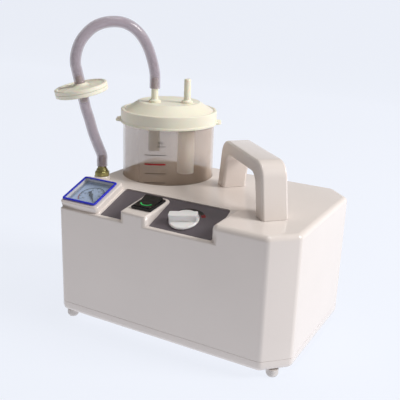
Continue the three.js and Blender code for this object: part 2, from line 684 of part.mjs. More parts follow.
function jarWell() {
  const inside = WELL_RADIUS;
  const outside = inside + WELL_WALL;
  const top = TOP_INSIDE - GAP;
  const profile = [[0, WELL_FLOOR - WELL_WALL], [outside - 3, WELL_FLOOR - WELL_WALL],
    [outside, WELL_FLOOR + 1], [outside, top - 3],
    [outside - 1.4, top], [inside, top], [inside, WELL_FLOOR], [0, WELL_FLOOR]];
  return piece('jar_well', turned(profile, 48), FINISH.casing);
}

function collectionJar() {
  const inside = JAR_RADIUS - JAR_WALL;
  const profile = [[0, JAR_BOTTOM], [JAR_RADIUS - 4, JAR_BOTTOM], [JAR_RADIUS, JAR_BOTTOM + 4],
    [JAR_RADIUS, JAR_TOP], [inside, JAR_TOP], [inside, JAR_BOTTOM + JAR_FLOOR + 3],
    [inside - 3, JAR_BOTTOM + JAR_FLOOR], [0, JAR_BOTTOM + JAR_FLOOR]];
  return piece('collection_jar', turned(profile, 48), FINISH.jar);
}

function jarGasket() {
  const bottom = JAR_TOP + GAP;
  return piece('jar_gasket', bar(JAR_RADIUS, bottom, bottom + GASKET_HEIGHT - GAP,
    { bore: JAR_RADIUS - JAR_WALL - 1, sides: 32 }), FINISH.whiteTube);
}

function jarLid() {
  const skirtBottom = SHOULDER - SKIRT_HEIGHT;
  const inside = JAR_RADIUS + GAP;
  const profile = [
    [0, LID_TOP], [0, LID_TOP - LID_SHELL], [LID_FLAT_RADIUS - 1, LID_TOP - LID_SHELL],
    [SKIRT_RADIUS - 10, LID_UNDERSIDE], [inside, LID_UNDERSIDE], [inside, skirtBottom],
    [SKIRT_RADIUS, skirtBottom], [SKIRT_RADIUS, SHOULDER + 0.6], [SKIRT_RADIUS - 2, SHOULDER + 0.6],
    [SKIRT_RADIUS - 3.5, SHOULDER - 0.4], [LID_FLAT_RADIUS, LID_TOP],
  ];
  const tabs = [VIEW_TURN, VIEW_TURN + Math.PI].map((angle) => {
    const reach = SKIRT_RADIUS + TAB_REACH;
    const tab = softPrism(rectangle(SKIRT_RADIUS - 4, -11, reach, 11, 5), skirtBottom,
      skirtBottom + 2.6, 0.8, 2);
    const inside = bar(SKIRT_RADIUS - 1, skirtBottom - 1, skirtBottom + 4, { sides: 48 });
    return solid(geometryOf(cut(solid(tab), solid(inside))).rotateZ(angle));
  });
  const holes = [VACUUM_PORT, PATIENT_PORT].map(({ x, y }) => solid(
    bar(SPIGOT.stem + GAP, 0, 2 * LID_TOP, { sides: 16 }).translate(x - JAR_X, y - JAR_Y, 0)));
  const cap = joined(solid(turned(profile, 48)), ...tabs);
  return piece('jar_lid', cut(cap, ...holes), FINISH.cream);
}

function spigot(name, { x, y }) {
  const seat = LID_TOP + GAP;
  const top = seat + SPIGOT.length;
  const stemBottom = LID_TOP - LID_SHELL - 5;
  const { radius, bore, flange, flangeHeight, stem } = SPIGOT;
  const profile = [[bore, stemBottom], [stem, stemBottom], [stem, seat], [flange, seat],
    [flange, seat + flangeHeight], [radius, seat + flangeHeight + 1], [radius, top - 1],
    [radius - 0.6, top], [bore, top]];
  return piece(name, turned(profile, 24).translate(x - JAR_X, y - JAR_Y, 0), FINISH.cream);
}

function innerTube() {
  const top = LID_TOP - LID_SHELL - GAP;
  const { radius, bore, length } = INNER_TUBE;
  const tube = bar(radius, top - length, top, { bore, sides: 24 });
  return piece('vacuum_inner_tube', tube.translate(VACUUM_PORT.x - JAR_X, VACUUM_PORT.y - JAR_Y, 0),
    FINISH.greyTube);
}

/** The float's guide: a tube with a ledge at its lower end that holds the float up. */
function floatGuide() {
  const top = LID_TOP - LID_SHELL - GAP;
  const bottom = top - FLOAT_GUIDE.length;
  const { radius, bore } = FLOAT_GUIDE;
  const ledge = 3;
  const profile = [[bore - 4, bottom], [radius, bottom], [radius, top], [bore, top],
    [bore, bottom + ledge], [bore - 4, bottom + ledge]];
  return piece('float_guide', turned(profile, 24)
    .translate(PATIENT_PORT.x - JAR_X, PATIENT_PORT.y - JAR_Y, 0), FINISH.whiteTube);
}

function floatPieces() {
  const sealTop = LID_TOP - LID_SHELL - 5 - FLOAT.travel - 2 * GAP;
  const floatTop = sealTop - 2.5 - GAP;
  const offset = [PATIENT_PORT.x - JAR_X, PATIENT_PORT.y - JAR_Y, 0];
  return [
    piece('overflow_float', softPrism(circle(FLOAT.radius, 20), floatTop - FLOAT.length, floatTop,
      1.2, 2).translate(...offset), FINISH.red),
    piece('float_seal', bar(FLOAT.radius - 0.6, sealTop - 2.5, sealTop, { sides: 20 })
      .translate(...offset), FINISH.rubber),
  ];
}

function jarGroup() {
  const group = new THREE.Group();
  group.position.set(JAR_X, JAR_Y, 0);
  group.add(jarWell(), collectionJar(), jarGasket(), jarLid(), spigot('vacuum_spigot', VACUUM_PORT),
    spigot('patient_spigot', PATIENT_PORT), innerTube(), floatGuide(), ...floatPieces());
  return group;
}

// ---- Hoses, filter and barb --------------------------------------------------------------------

/** The hoses hang in the upright plane through the vacuum spigot and the barb. */
function inHosePlane([along, height]) {
  const start = new THREE.Vector3(VACUUM_PORT.x, VACUUM_PORT.y, 0);
  const direction = new THREE.Vector3(BARB.x, BARB.y, 0).sub(start).normalize();
  return start.addScaledVector(direction, along).setZ(height);
}

/** A point on the filter's axis, at a distance above its middle. */
function onFilterAxis(distance) {
  const lean = THREE.MathUtils.degToRad(FILTER.lean);
  return [FILTER.along + distance * Math.sin(lean),
    LID_TOP + FILTER.rise + distance * Math.cos(lean)];
}

function tube(points, { radius, bore, steps }) {
  const sides = 8;
  const path = new THREE.CatmullRomCurve3(points, false, 'centripetal');
  const shape = new THREE.Shape(circle(radius, sides));
  shape.holes = [new THREE.Path(circle(bore, sides))];
  return new THREE.ExtrudeGeometry(shape, { extrudePath: path, steps, bevelEnabled: false });
}

const aboveLid = ([along, rise]) => [along, LID_TOP + rise];

/** Points on the filter's axis, from its port outwards, that a hose's end passes through. */
function offPort(side) {
  const port = FILTER.halfThickness + 2.4 + GAP;
  return [port, port + 8, port + 15].map((distance) => onFilterAxis(side * distance));
}

function upperHose() {
  const foot = SPIGOT_TOP - HOSE_OVERLAP;
  const points = [[0, foot], [0, foot + 8], [0.4, foot + 18], ...UPPER_LOOP.map(aboveLid),
    ...offPort(1).reverse()].map(inHosePlane);
  return piece('upper_hose', tube(points, { radius: HOSE_RADIUS, bore: HOSE_BORE, steps: 16 }),
    FINISH.hose);
}

function lowerHose() {
  const end = FITTING.top - HOSE_OVERLAP;
  const points = [...offPort(-1), ...LOWER_RUN.map(aboveLid), [HOSE_SPAN, end + 12],
    [HOSE_SPAN, end + 6], [HOSE_SPAN, end]].map(inHosePlane);
  return piece('lower_hose', tube(points, { radius: HOSE_RADIUS, bore: HOSE_BORE, steps: 8 }),
    FINISH.hose);
}

/** Half of the filter's housing, above its middle plane, with its port. */
function filterShell(name) {
  const { radius, halfThickness, port } = FILTER;
  const { radius: outer, bore } = SPIGOT;
  const inside = radius - FILTER_RIM;
  const profile = [[bore, halfThickness - 1.6], [inside, 1.6], [inside, GAP / 2],
    [radius, GAP / 2], [radius, halfThickness - 0.8], [radius - 1, halfThickness],
    [HOSE_RADIUS + 2, halfThickness + 0.6], [HOSE_RADIUS, halfThickness + 2.4],
    [outer, halfThickness + 2.4], [outer, port], [bore, port]];
  return piece(name, turned(profile, 28), FINISH.filter);
}

function filterGroup() {
  const group = new THREE.Group();
  const axis = inHosePlane(onFilterAxis(1)).sub(inHosePlane(onFilterAxis(0)));
  group.position.copy(inHosePlane(onFilterAxis(0)));
  group.quaternion.setFromUnitVectors(new THREE.Vector3(0, 0, 1), axis.normalize());
  const lower = filterShell('filter_lower_shell');
  lower.rotation.x = Math.PI;
  const inside = FILTER.radius - FILTER_RIM - GAP;
  group.add(filterShell('filter_upper_shell'), lower,
    piece('filter_membrane', bar(inside, -0.5, 0.5), FINISH.membrane));
  return group;
}

function suctionBarb() {
  const seat = BARB.padTop + GAP;
  const { nipple, thread, top, hex } = FITTING;
  const bore = 2;
  const lowEnd = TOP_INSIDE - 22;
  const profile = [[bore, lowEnd], [nipple - 0.4, lowEnd], [nipple - 0.4, lowEnd + 12],
    [thread, lowEnd + 12], [thread, seat + 3], [hex - 1.2, seat + 3], [hex - 1.2, seat + 5.5],
    [nipple - 0.5, seat + 8.5], [nipple - 0.5, seat + 10.5], [nipple + 1.4, seat + 12],
    [nipple + 1.4, top - HOSE_OVERLAP - GAP], [nipple, top - HOSE_OVERLAP - GAP], [nipple, top - 1],
    [nipple - 0.6, top], [bore, top]];
  const nut = prism(circle(hex / Math.cos(Math.PI / 6), 6), seat, seat + 4.6,
    [circle(bore + 1, 20)]);
  return piece('suction_barb', joined(solid(turned(profile, 20)), solid(nut)), FINISH.brass);
}

function barbNut() {
  const nut = prism(circle(FITTING.thread + 2.3, 6), TOP_INSIDE - GAP - 4, TOP_INSIDE - GAP,
    [circle(FITTING.thread + GAP, 16)]);
  return piece('barb_nut', nut.rotateZ(Math.PI / 6), FINISH.brass);
}

function barbGroup() {
  const group = new THREE.Group();
  group.position.set(BARB.x, BARB.y, 0);
  group.add(suctionBarb(), barbNut());
  return group;
}

// ---- Handle ------------------------------------------------------------------------------------

function carryHandle() {
  const half = HANDLE.span / 2;
  const crown = half - HANDLE_LEAN;
  const { rise, leg, width } = HANDLE;
  const under = rise - HANDLE.crown;
  const outside = [[half, 0, 0], [crown, rise, 19], [-crown, rise, 19], [-half, 0, 0]];
  const innerCrown = crown - leg + 2;
  const inside = [[leg - half, 0, 0], [-innerCrown, under, 13], [innerCrown, under, 13],
    [half - leg, 0, 0]];
  const outline = filleted([...outside, ...inside], Math.PI / 12);
  const arch = softPrism(outline, -width / 2, width / 2, HANDLE_EDGE, 2).rotateX(Math.PI / 2);
  const mesh = piece('carry_handle', arch, FINISH.casing);
  mesh.position.set(HANDLE.x, HANDLE.y, BODY_TOP + GAP);
  mesh.rotation.z = THREE.MathUtils.degToRad(HANDLE_TURN);
  return mesh;
}

// ---- Pump inside the casing --------------------------------------------------------------------

function rubberMounts() {
  const x = [BRACKET.left + 14, BRACKET.right - 20];
  const y = BRACKET.half - 12;
  const places = [['front_left', x[0], -y], ['front_right', x[1], -y], ['rear_left', x[0], y],
    ['rear_right', x[1], y]];
  return places.map(([place, left, back]) => piece(`pump_mount_${place}`,
    bar(MOUNT_RADIUS, TRAY_FLOOR + GAP, BRACKET.bottom - GAP, { sides: 16 }).translate(left, back, 0),
    FINISH.rubber));
}

function pumpBracket() {
  const { left, right, half, bottom } = BRACKET;
  return piece('pump_bracket', prism(rectangle(left, -half, right, half, 5), bottom, BRACKET_TOP),
    FINISH.steel);
}

/** The motor's can is hollow round the rotor and open along the shaft. */
function pumpMotor() {
  const { left, right, radius, wall } = MOTOR;
  const body = alongX(bar(radius, left, right, { sides: 32 })).translate(0, 0, SHAFT_Z);
  const pad = block(left + 12, right - 12, -radius * 0.7, radius * 0.7, BRACKET_TOP + GAP,
    SHAFT_Z - radius * 0.6);
  const bore = alongX(bar(SHAFT_RADIUS + GAP, left - 1, right + 1, { sides: 16 }))
    .translate(0, 0, SHAFT_Z);
  const inside = alongX(bar(ROTOR.radius + wall / 2, left + wall, right - wall, { sides: 32 }))
    .translate(0, 0, SHAFT_Z);
  return piece('pump_motor', cut(joined(solid(body), solid(pad)), solid(bore), solid(inside)),
    FINISH.motor);
}

/** The shaft with the rotor's core pressed on it. */
function motorShaft() {
  const shaft = solid(bar(SHAFT_RADIUS, FAN.left - 2, ECCENTRIC.right + 2, { sides: 16 }));
  const core = solid(bar(ROTOR.radius, ROTOR.left, ROTOR.right, { sides: 24 }));
  const both = alongX(geometryOf(joined(shaft, core)));
  return piece('motor_shaft', both.translate(0, 0, SHAFT_Z), FINISH.steel);
}

function coolingFan() {
  const { left, right, radius, hub, blades } = FAN;
  const blade = (index) => {
    const vane = block(-1, 1, hub - 2, radius, -6, 6);
    vane.rotateY(THREE.MathUtils.degToRad(35));
    vane.rotateX((2 * Math.PI * index) / blades);
    return solid(vane.translate((left + right) / 2, 0, 0));
  };
  const core = solid(alongX(bar(hub, left, right, { sides: 20 })));
  const bore = solid(alongX(bar(SHAFT_RADIUS + GAP, left - 1, right + 1, { sides: 16 })));
  const vanes = Array.from({ length: blades }, (_, index) => blade(index));
  const fan = geometryOf(cut(joined(core, ...vanes), bore));
  return piece('cooling_fan', fan.translate(0, 0, SHAFT_Z), FINISH.whiteTube);
}

function crankEccentric() {
  const { radius, left, right } = ECCENTRIC;
  const disc = solid(alongX(bar(radius, left, right, { sides: 24 })).translate(0, 0, THROW));
  const bore = solid(alongX(bar(SHAFT_RADIUS + GAP, left - 1, right + 1, { sides: 16 })));
  return piece('crank_eccentric', geometryOf(cut(disc, bore)).translate(0, 0, SHAFT_Z),
    FINISH.steel);
}

/** The crankcase, open towards +X, with holes for the shaft and the rod. */
function crankcase() {
  const { left, right, half, wall } = CRANKCASE;
  const top = CYLINDER.bottom - GAP;
  const shell = cut(
    solid(block(left, right, -half, half, BRACKET_TOP + GAP, top)),
    solid(block(left + wall, right + 1, -half + wall, half - wall, BRACKET_TOP + wall, top - wall)),
    solid(alongX(bar(SHAFT_RADIUS + 1, left - 1, left + 2 * wall, { sides: 16 }))
      .translate(0, 0, SHAFT_Z)),
    solid(bar(11, top - 2 * wall, top + 1, { sides: 24 }).translate(CYLINDER.x, 0, 0)),
  );
  return piece('crankcase', shell, FINISH.aluminium);
}

function pumpCylinder() {
  const { x, bore, wall, bottom, top } = CYLINDER;
  return piece('pump_cylinder', bar(bore + wall, bottom, top, { bore, sides: 24 })
    .translate(x, 0, 0), FINISH.aluminium);
}

/** The port leans out of the head towards the front. */
function cylinderHead() {
  const { x, bore, wall, top } = CYLINDER;
  const bottom = top + GAP;
  const cover = bar(bore + wall, bottom, bottom + 8, { sides: 24 });
  const port = bar(PUMP_HOSE.bore - 0.6, 0, bore + wall + 5, { sides: 12 });
  port.rotateX(Math.PI / 2).translate(0, 0, bottom + 4);
  return piece('cylinder_head', geometryOf(joined(solid(cover), solid(port))).translate(x, 0, 0),
    FINISH.aluminium);
}

/** The piston with its rod, at the top of its stroke. The head clears the bore by the throw. */
function pistonRod() {
  const { x, bore, top } = CYLINDER;
  const radius = bore - THROW - PISTON.clearance;
  const headTop = top - 1;
  const eye = SHAFT_Z + THROW;
  const inner = ECCENTRIC.radius + GAP;
  const halfEye = ROD.width / 2;
  const ring = solid(alongX(bar(inner + ROD.wall, x - halfEye, x + halfEye, { sides: 24 }))
    .translate(0, 0, eye));
  const hole = solid(alongX(bar(inner, x - ROD.width, x + ROD.width, { sides: 24 }))
    .translate(0, 0, eye));
  const rod = solid(block(x - halfEye, x + halfEye, -ROD.depth / 2, ROD.depth / 2, eye + inner + 1,
    headTop - 1));
  const head = solid(bar(radius, headTop - PISTON.height, headTop, { sides: 24 })
    .translate(x, 0, 0));
  return piece('piston_rod', cut(joined(ring, rod, head), hole), FINISH.aluminium);
}

function internalHose() {
  const end = TOP_INSIDE - 12;
  const head = CYLINDER.top + GAP + 4;
  const front = -CYLINDER.bore - CYLINDER.wall;
  const points = [
    [CYLINDER.x, front - 2, head], [CYLINDER.x, front - 8, head], [CYLINDER.x, front - 13, head],
    [96, -48, 138], [82, -50, 132], [40, -44, 130], [0, -36, 130], [-50, -32, 126], [-98, -30, 112],
    [-122, -29.5, 106], [BARB.x, BARB.y, 118], [BARB.x, BARB.y, end - 12], [BARB.x, BARB.y, end - 6],
    [BARB.x, BARB.y, end - GAP],
  ].map((point) => new THREE.Vector3(...point));
  return piece('internal_hose', tube(points, { ...PUMP_HOSE, steps: 36 }), FINISH.hose);
}

// ---- Power inlet and fuse ----------------------------------------------------------------------

const pinPlaces = () => [['line', -PIN.pitch, -1.5], ['neutral', PIN.pitch, -1.5], ['earth', 0, 2.5]];

function powerInlet() {
  const { x, z, width, height, depth, pocket, wall } = INLET;
  const back = MAINS_BACK;
  const inside = BODY_DEPTH / 2 - WALL - GAP;
  const body = solid(block(x - width / 2, x + width / 2, back - depth, back, z - height / 2,
    z + height / 2));
  const flange = solid(block(x - width / 2 - 9, x + width / 2 + 9, inside - 3, inside,
    z - height / 2 - 2, z + height / 2 + 2));
  const mouth = solid(block(x - width / 2 + wall, x + width / 2 - wall, back - pocket, back + 1,
    z - height / 2 + wall, z + height / 2 - wall));
  const pins = pinPlaces().map(([, dx, dz]) => solid(block(x + dx - PIN.width / 2 - GAP,
    x + dx + PIN.width / 2 + GAP, 0, back - pocket + 1, z + dz - PIN.height / 2 - GAP,
    z + dz + PIN.height / 2 + GAP)));
  return piece('power_inlet', cut(body.add(flange), mouth, ...pins), FINISH.black);
}

function inletPins() {
  const { x, z } = INLET;
  const tip = MAINS_BACK - 3;
  return pinPlaces().map(([name, dx, dz]) => piece(`inlet_pin_${name}`, block(
    x + dx - PIN.width / 2, x + dx + PIN.width / 2, tip - PIN.length, tip,
    z + dz - PIN.height / 2, z + dz + PIN.height / 2), FINISH.brass));
}

/** The fuse's holder: a tube closed at its inner end, with a collar behind the wall. */
function fuseHolder() {
  const { radius, length, bore, mouth, mouthDepth } = FUSE;
  const collar = length - WALL - GAP;
  const profile = [[0, 0], [radius, 0], [radius, collar - 3], [radius + 2.5, collar - 3],
    [radius + 2.5, collar], [radius, collar], [radius, length], [mouth, length],
    [mouth, length - mouthDepth], [bore, length - mouthDepth], [bore, 3], [0, 3]];
  return alongY(turned(profile, 24)).translate(FUSE.x, MAINS_BACK - length, FUSE.z);
}

function fusePieces() {
  const { x, z, length, bore, mouth, mouthDepth } = FUSE;
  const foot = MAINS_BACK - length;
  const shoulder = length - mouthDepth + GAP;
  const stem = shoulder - 7;
  const cap = [[0, stem], [bore - GAP, stem], [bore - GAP, shoulder], [mouth - GAP, shoulder],
    [mouth - GAP, length - GAP], [0, length - GAP]];
  const slot = solid(block(-4, 4, -0.6, 0.6, length - 2, length + 1));
  const capBody = geometryOf(cut(solid(turned(cap, 24)), slot));
  return [
    piece('fuse_holder', fuseHolder(), FINISH.black),
    piece('fuse_cap', alongY(capBody).translate(x, foot, z), FINISH.black),
    piece('fuse', alongY(bar(2.5, stem - GAP - 20, stem - GAP, { sides: 12 }))
      .translate(x, foot, z), FINISH.clear),
  ];
}

// ---- Assembly ----------------------------------------------------------------------------------

const group = new THREE.Group();
group.add(upperCasing(), baseTray(), ...feet(), ...casingScrews());
const panel = slopeFrame();
panel.add(controlPanel());
group.add(panel, switchGroup(), regulatorGroup(), gaugeGroup());
group.add(jarGroup(), upperHose(), lowerHose(), filterGroup(), barbGroup(), carryHandle());
group.add(...rubberMounts(), pumpBracket(), pumpMotor(), motorShaft(), coolingFan(),
  crankEccentric(), crankcase(), pumpCylinder(), cylinderHead(), pistonRod(), internalHose());
group.add(powerInlet(), ...inletPins(), ...fusePieces());

export default group;
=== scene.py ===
"""Finished surfaces of a portable suction pump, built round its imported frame.

Everything is in metres in the frame's own axes: +Z up, +X to the operator's right, -Y towards the
operator, with the origin on the floor under the middle of the casing. Sizes are written in
millimetres, as the maker draws them, and scaled once when a mesh is made.
"""

from __future__ import annotations

import json
import logging
import math
from dataclasses import dataclass, field
from enum import Enum
from typing import Any, Callable, Mapping, Sequence

import bmesh
import bpy
import numpy as np
from mathutils import Matrix, Vector

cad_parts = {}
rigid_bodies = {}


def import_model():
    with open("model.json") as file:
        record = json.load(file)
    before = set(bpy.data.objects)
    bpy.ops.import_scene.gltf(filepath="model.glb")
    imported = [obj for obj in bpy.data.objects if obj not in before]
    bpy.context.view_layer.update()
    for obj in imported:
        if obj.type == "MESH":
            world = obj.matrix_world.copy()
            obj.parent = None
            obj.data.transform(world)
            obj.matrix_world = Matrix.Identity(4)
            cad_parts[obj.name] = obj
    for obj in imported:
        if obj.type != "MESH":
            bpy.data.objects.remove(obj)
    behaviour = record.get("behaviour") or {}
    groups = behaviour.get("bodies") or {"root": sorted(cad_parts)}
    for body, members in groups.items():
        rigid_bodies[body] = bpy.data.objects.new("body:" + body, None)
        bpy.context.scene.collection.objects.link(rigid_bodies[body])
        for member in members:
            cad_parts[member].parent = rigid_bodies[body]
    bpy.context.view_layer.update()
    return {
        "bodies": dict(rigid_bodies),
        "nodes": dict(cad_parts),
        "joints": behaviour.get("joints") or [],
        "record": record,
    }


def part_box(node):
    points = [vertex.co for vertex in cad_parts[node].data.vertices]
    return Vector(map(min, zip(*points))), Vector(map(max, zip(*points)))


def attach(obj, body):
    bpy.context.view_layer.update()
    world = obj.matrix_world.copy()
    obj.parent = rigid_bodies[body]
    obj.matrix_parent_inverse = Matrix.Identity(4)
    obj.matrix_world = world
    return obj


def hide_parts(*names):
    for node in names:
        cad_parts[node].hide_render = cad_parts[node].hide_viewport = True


MM = 0.001
TINY = 1e-6
FULL_TURN = 2 * math.pi
ACRYLIC_INDEX = 1.49
LOG = logging.getLogger("suction_pump")

Array = np.ndarray
Colour = tuple[float, float, float]
Relief = Callable[[Array, Array, Array], tuple[Array, Array]]


class Body(str, Enum):
    """The bodies of the frame that new pieces ride on."""

    CASING = "casing"
    KNOB = "knob"
    ROCKER = "rocker"
    NEEDLE = "needle"
    JAR = "jar"
    LID = "lid"
    FLOAT = "float"
    FUSE = "fuse_carrier"


# ---- Shader graph -------------------------------------------------------------------------------


class Signal:
    """A number that varies over a surface, with arithmetic that adds Math nodes."""

    def __init__(self, graph: "Graph", socket: bpy.types.NodeSocket) -> None:
        """Keeps the output socket that carries the number, and its graph."""
        self.graph = graph
        self.socket = socket

    def maths(self, operation: str, *operands: "Signal | float") -> "Signal":
        """The result of one Math node, with its inputs in order."""
        return self.graph.node("Math", {"operation": operation}, dict(enumerate(operands)))

    def __add__(self, other: "Signal | float") -> "Signal":
        """Sum."""
        return self.maths("ADD", self, other)

    def __sub__(self, other: float) -> "Signal":
        """Difference."""
        return self.maths("SUBTRACT", self, other)

    def __mul__(self, other: float) -> "Signal":
        """Product."""
        return self.maths("MULTIPLY", self, other)

    def __pow__(self, other: float) -> "Signal":
        """Power."""
        return self.maths("POWER", self, other)

    __radd__ = __add__

    def ramp(self, low: float, high: float) -> "Signal":
        """A smooth rise from 0 at low to 1 at high."""
        return self.graph.node(
            "MapRange",
            {"interpolation_type": "SMOOTHSTEP"},
            {"Value": self, "From Min": low, "From Max": high},
        )


class Graph:
    """The node tree of one material."""

    def __init__(self, name: str) -> None:
        """Starts an empty material.

        Args:
            name: the material's name.
        """
        self.material = bpy.data.materials.new(name)
        self.material.use_nodes = True
        self.tree = self.material.node_tree
        self.tree.nodes.clear()

    def node(
        self,
        kind: str,
        settings: Mapping[str, Any] | None = None,
        inputs: Mapping[str | int, Any] | None = None,
        output: str | int = 0,
    ) -> Signal:
        """Adds a node, with its settings first and its inputs after them.

        Args:
            kind: the node's type, without the ShaderNode prefix.
            settings: attributes of the node.
            inputs: values or links of its sockets, by name or number.
            output: the socket to hand back.

        Returns:
            The node's output.
        """
        made = self.tree.nodes.new("ShaderNode" + kind)
        for key, value in (settings or {}).items():
            setattr(made, key, value)
        for key, value in (inputs or {}).items():
            if isinstance(value, Signal):
                self.tree.links.new(value.socket, made.inputs[key])
            else:
                made.inputs[key].default_value = value
        return Signal(self, made.outputs[output])

    def place(self, stretch: Colour = (1.0, 1.0, 1.0)) -> Signal:
        """Object coordinates, scaled along each axis for grain that runs one way."""
        here = self.node("TexCoord", output="Object")
        return self.node("Mapping", {}, {"Vector": here, "Scale": stretch})

    def noise(
        self, size: float, detail: float = 2.0, stretch: Colour = (1.0, 1.0, 1.0)
    ) -> Signal:
        """Soft random variation.

        Args:
            size: the width of one spot in millimetres.
            detail: how many finer layers it has.
            stretch: the scale along each axis.

        Returns:
            The noise, about 0.5 on average.
        """
        inputs = {"Vector": self.place(stretch), "Scale": 1.0 / (size * MM), "Detail": detail}
        return self.node("TexNoise", {}, inputs)

    def blend(self, share: Signal, first: Colour | Signal, second: Colour) -> Signal:
        """Mixes two colours.

        Args:
            share: how much of the second colour shows.
            first: the colour at 0.
            second: the colour at 1.

        Returns:
            The mixed colour.
        """
        under = first if isinstance(first, Signal) else (*first, 1.0)
        inputs = {0: share, 6: under, 7: (*second, 1.0)}
        return self.node("Mix", {"data_type": "RGBA"}, inputs, output=2)

    def bump(self, height: Signal, depth: float) -> Signal:
        """The normal of a height from 0 to 1 that stands for a depth in millimetres."""
        return self.node("Bump", {}, {"Height": height, "Distance": depth * MM, "Strength": 1.0})

    def finish(self, **inputs: Any) -> bpy.types.Material:
        """Adds the surface shader and the output.

        Args:
            inputs: the shader's sockets, with underscores for spaces.

        Returns:
            The finished material.
        """
        sockets = {key.replace("_", " "): value for key, value in inputs.items()}
        surface = self.node("BsdfPrincipled", {}, sockets)
        out = self.tree.nodes.new("ShaderNodeOutputMaterial")
        self.tree.links.new(surface.socket, out.inputs["Surface"])
        return self.material


# ---- Finishes -----------------------------------------------------------------------------------


def linear(red: int, green: int, blue: int) -> Colour:
    """Turns a colour on the usual 0 to 255 scale into linear light."""
    shares = np.array([red, green, blue]) / 255.0
    low, high = shares / 12.92, ((shares + 0.055) / 1.055) ** 2.4
    return tuple(float(value) for value in np.where(shares <= 0.04045, low, high))


def darker(colour: Colour, share: float) -> Colour:
    """Scales a colour's light."""
    return tuple(min(1.0, channel * share) for channel in colour)


class Finish:
    """A surface finish; each kind says which shader inputs it fills."""

    def sockets(self, graph: Graph) -> dict[str, Any]:
        """The shader's inputs, drawn on a graph, with underscores for spaces."""
        raise NotImplementedError

    def material(self, name: str) -> bpy.types.Material:
        """The finished material."""
        graph = Graph(name)
        return graph.finish(**self.sockets(graph))


@dataclass(frozen=True)
class MouldedPlastic(Finish):
    """Injection-moulded plastic: faint flow mottling, fine grain, and scuffs that dull it."""

    colour: Colour
    roughness: float = 0.3
    mottle: float = 0.03
    mottle_size: float = 60.0
    grain_size: float = 0.5
    grain_depth: float = 0.02
    scuff: float = 0.1
    scatter: float = 0.0
    coat: float = 0.0

    def sockets(self, graph: Graph) -> dict[str, Any]:
        """The plastic's shader inputs."""
        flow = graph.noise(self.mottle_size, 3.0)
        dull = graph.noise(self.mottle_size * 0.3, 6.0, (1.0, 1.0, 3.0)).ramp(0.55, 0.75)
        low, high, dark = (
            darker(self.colour, share) for share in (1 - self.mottle, 1 + self.mottle, 0.8)
        )
        worn = graph.blend(dull * self.mottle, graph.blend(flow, low, high), dark)
        grain = graph.noise(self.grain_size, 2.0)
        return dict(
            Base_Color=worn,
            Roughness=self.roughness + dull * self.scuff + (grain - 0.5) * 0.06,
            Normal=graph.bump(grain, self.grain_depth),
            Coat_Weight=self.coat,
            Coat_Roughness=0.08,
            Subsurface_Weight=self.scatter,
            Subsurface_Scale=0.002,
        )


@dataclass(frozen=True)
class Rubber(Finish):
    """Rubber: matt, with a dusty bloom in patches."""

    colour: Colour
    roughness: float = 0.75

    def sockets(self, graph: Graph) -> dict[str, Any]:
        """The rubber's shader inputs."""
        bloom = graph.noise(6.0, 5.0).ramp(0.4, 0.7)
        pores = graph.noise(0.3, 3.0)
        return dict(
            Base_Color=graph.blend(bloom, self.colour, darker(self.colour, 1.25)),
            Roughness=self.roughness + bloom * 0.15,
            Normal=graph.bump(pores, 0.05),
        )


@dataclass(frozen=True)
class Metal(Finish):
    """Bare metal: tool marks that run one way, and tarnish in patches."""

    colour: Colour
    roughness: float = 0.3
    marks: Colour = (1.0, 1.0, 12.0)
    mark_size: float = 1.2
    mark_depth: float = 0.01
    tarnish: float = 0.25

    def sockets(self, graph: Graph) -> dict[str, Any]:
        """The metal's shader inputs."""
        lines = graph.noise(self.mark_size, 4.0, self.marks)
        patches = graph.noise(9.0, 4.0).ramp(0.4, 0.75)
        return dict(
            Base_Color=graph.blend(patches * self.tarnish, self.colour, darker(self.colour, 0.45)),
            Metallic=1.0,
            Roughness=self.roughness + patches * 0.15 + (lines - 0.5) * 0.2,
            Normal=graph.bump(lines, self.mark_depth),
        )


@dataclass(frozen=True)
class ClearPlastic(Finish):
    """See-through plastic: a tint, faint haze in patches and moulding ripples."""

    tint: Colour
    roughness: float = 0.05
    haze: float = 0.1
    ripple_size: float = 14.0
    ripple_depth: float = 0.03

    def sockets(self, graph: Graph) -> dict[str, Any]:
        """The clear plastic's shader inputs."""
        cloud = graph.noise(self.ripple_size * 2, 4.0)
        ripple = graph.noise(self.ripple_size, 1.0, (1.0, 1.0, 0.3))
        return dict(
            Base_Color=graph.blend(cloud * self.haze, self.tint, darker(self.tint, 0.85)),
            Roughness=self.roughness + cloud.ramp(0.5, 0.8) * self.haze,
            Normal=graph.bump(ripple, self.ripple_depth),
            Transmission_Weight=1.0,
            IOR=ACRYLIC_INDEX,
        )


@dataclass(frozen=True)
class SheerPlastic(Finish):
    """Thin plastic that shows what is behind it: a veil of colour, more at its edges and frost."""

    colour: Colour
    veil: float = 0.15
    edge: float = 0.5
    roughness: float = 0.12
    haze: float = 0.05
    ripple_size: float = 14.0
    ripple_depth: float = 0.03
    frost: float = 0.0
    frost_from: float = -20.0
    frost_to: float = 80.0

    def sockets(self, graph: Graph) -> dict[str, Any]:
        """The sheer plastic's shader inputs."""
        cloud = graph.noise(self.ripple_size * 2, 3.0)
        ripple = graph.noise(self.ripple_size, 1.0, (1.0, 1.0, 0.3))
        rim = graph.node("LayerWeight", {}, {"Blend": 0.5}, "Facing") ** 4.0
        depth = graph.node("SeparateXYZ", {}, {"Vector": graph.place()}, "Y")
        frosted = depth.ramp(self.frost_from * MM, self.frost_to * MM) * self.frost
        return dict(
            Base_Color=graph.blend(cloud, darker(self.colour, 0.94), darker(self.colour, 1.06)),
            Roughness=self.roughness + cloud * self.haze,
            Alpha=self.veil + frosted + rim * self.edge + (cloud - 0.5) * self.haze,
            Normal=graph.bump(ripple, self.ripple_depth),
            Coat_Weight=0.5,
        )


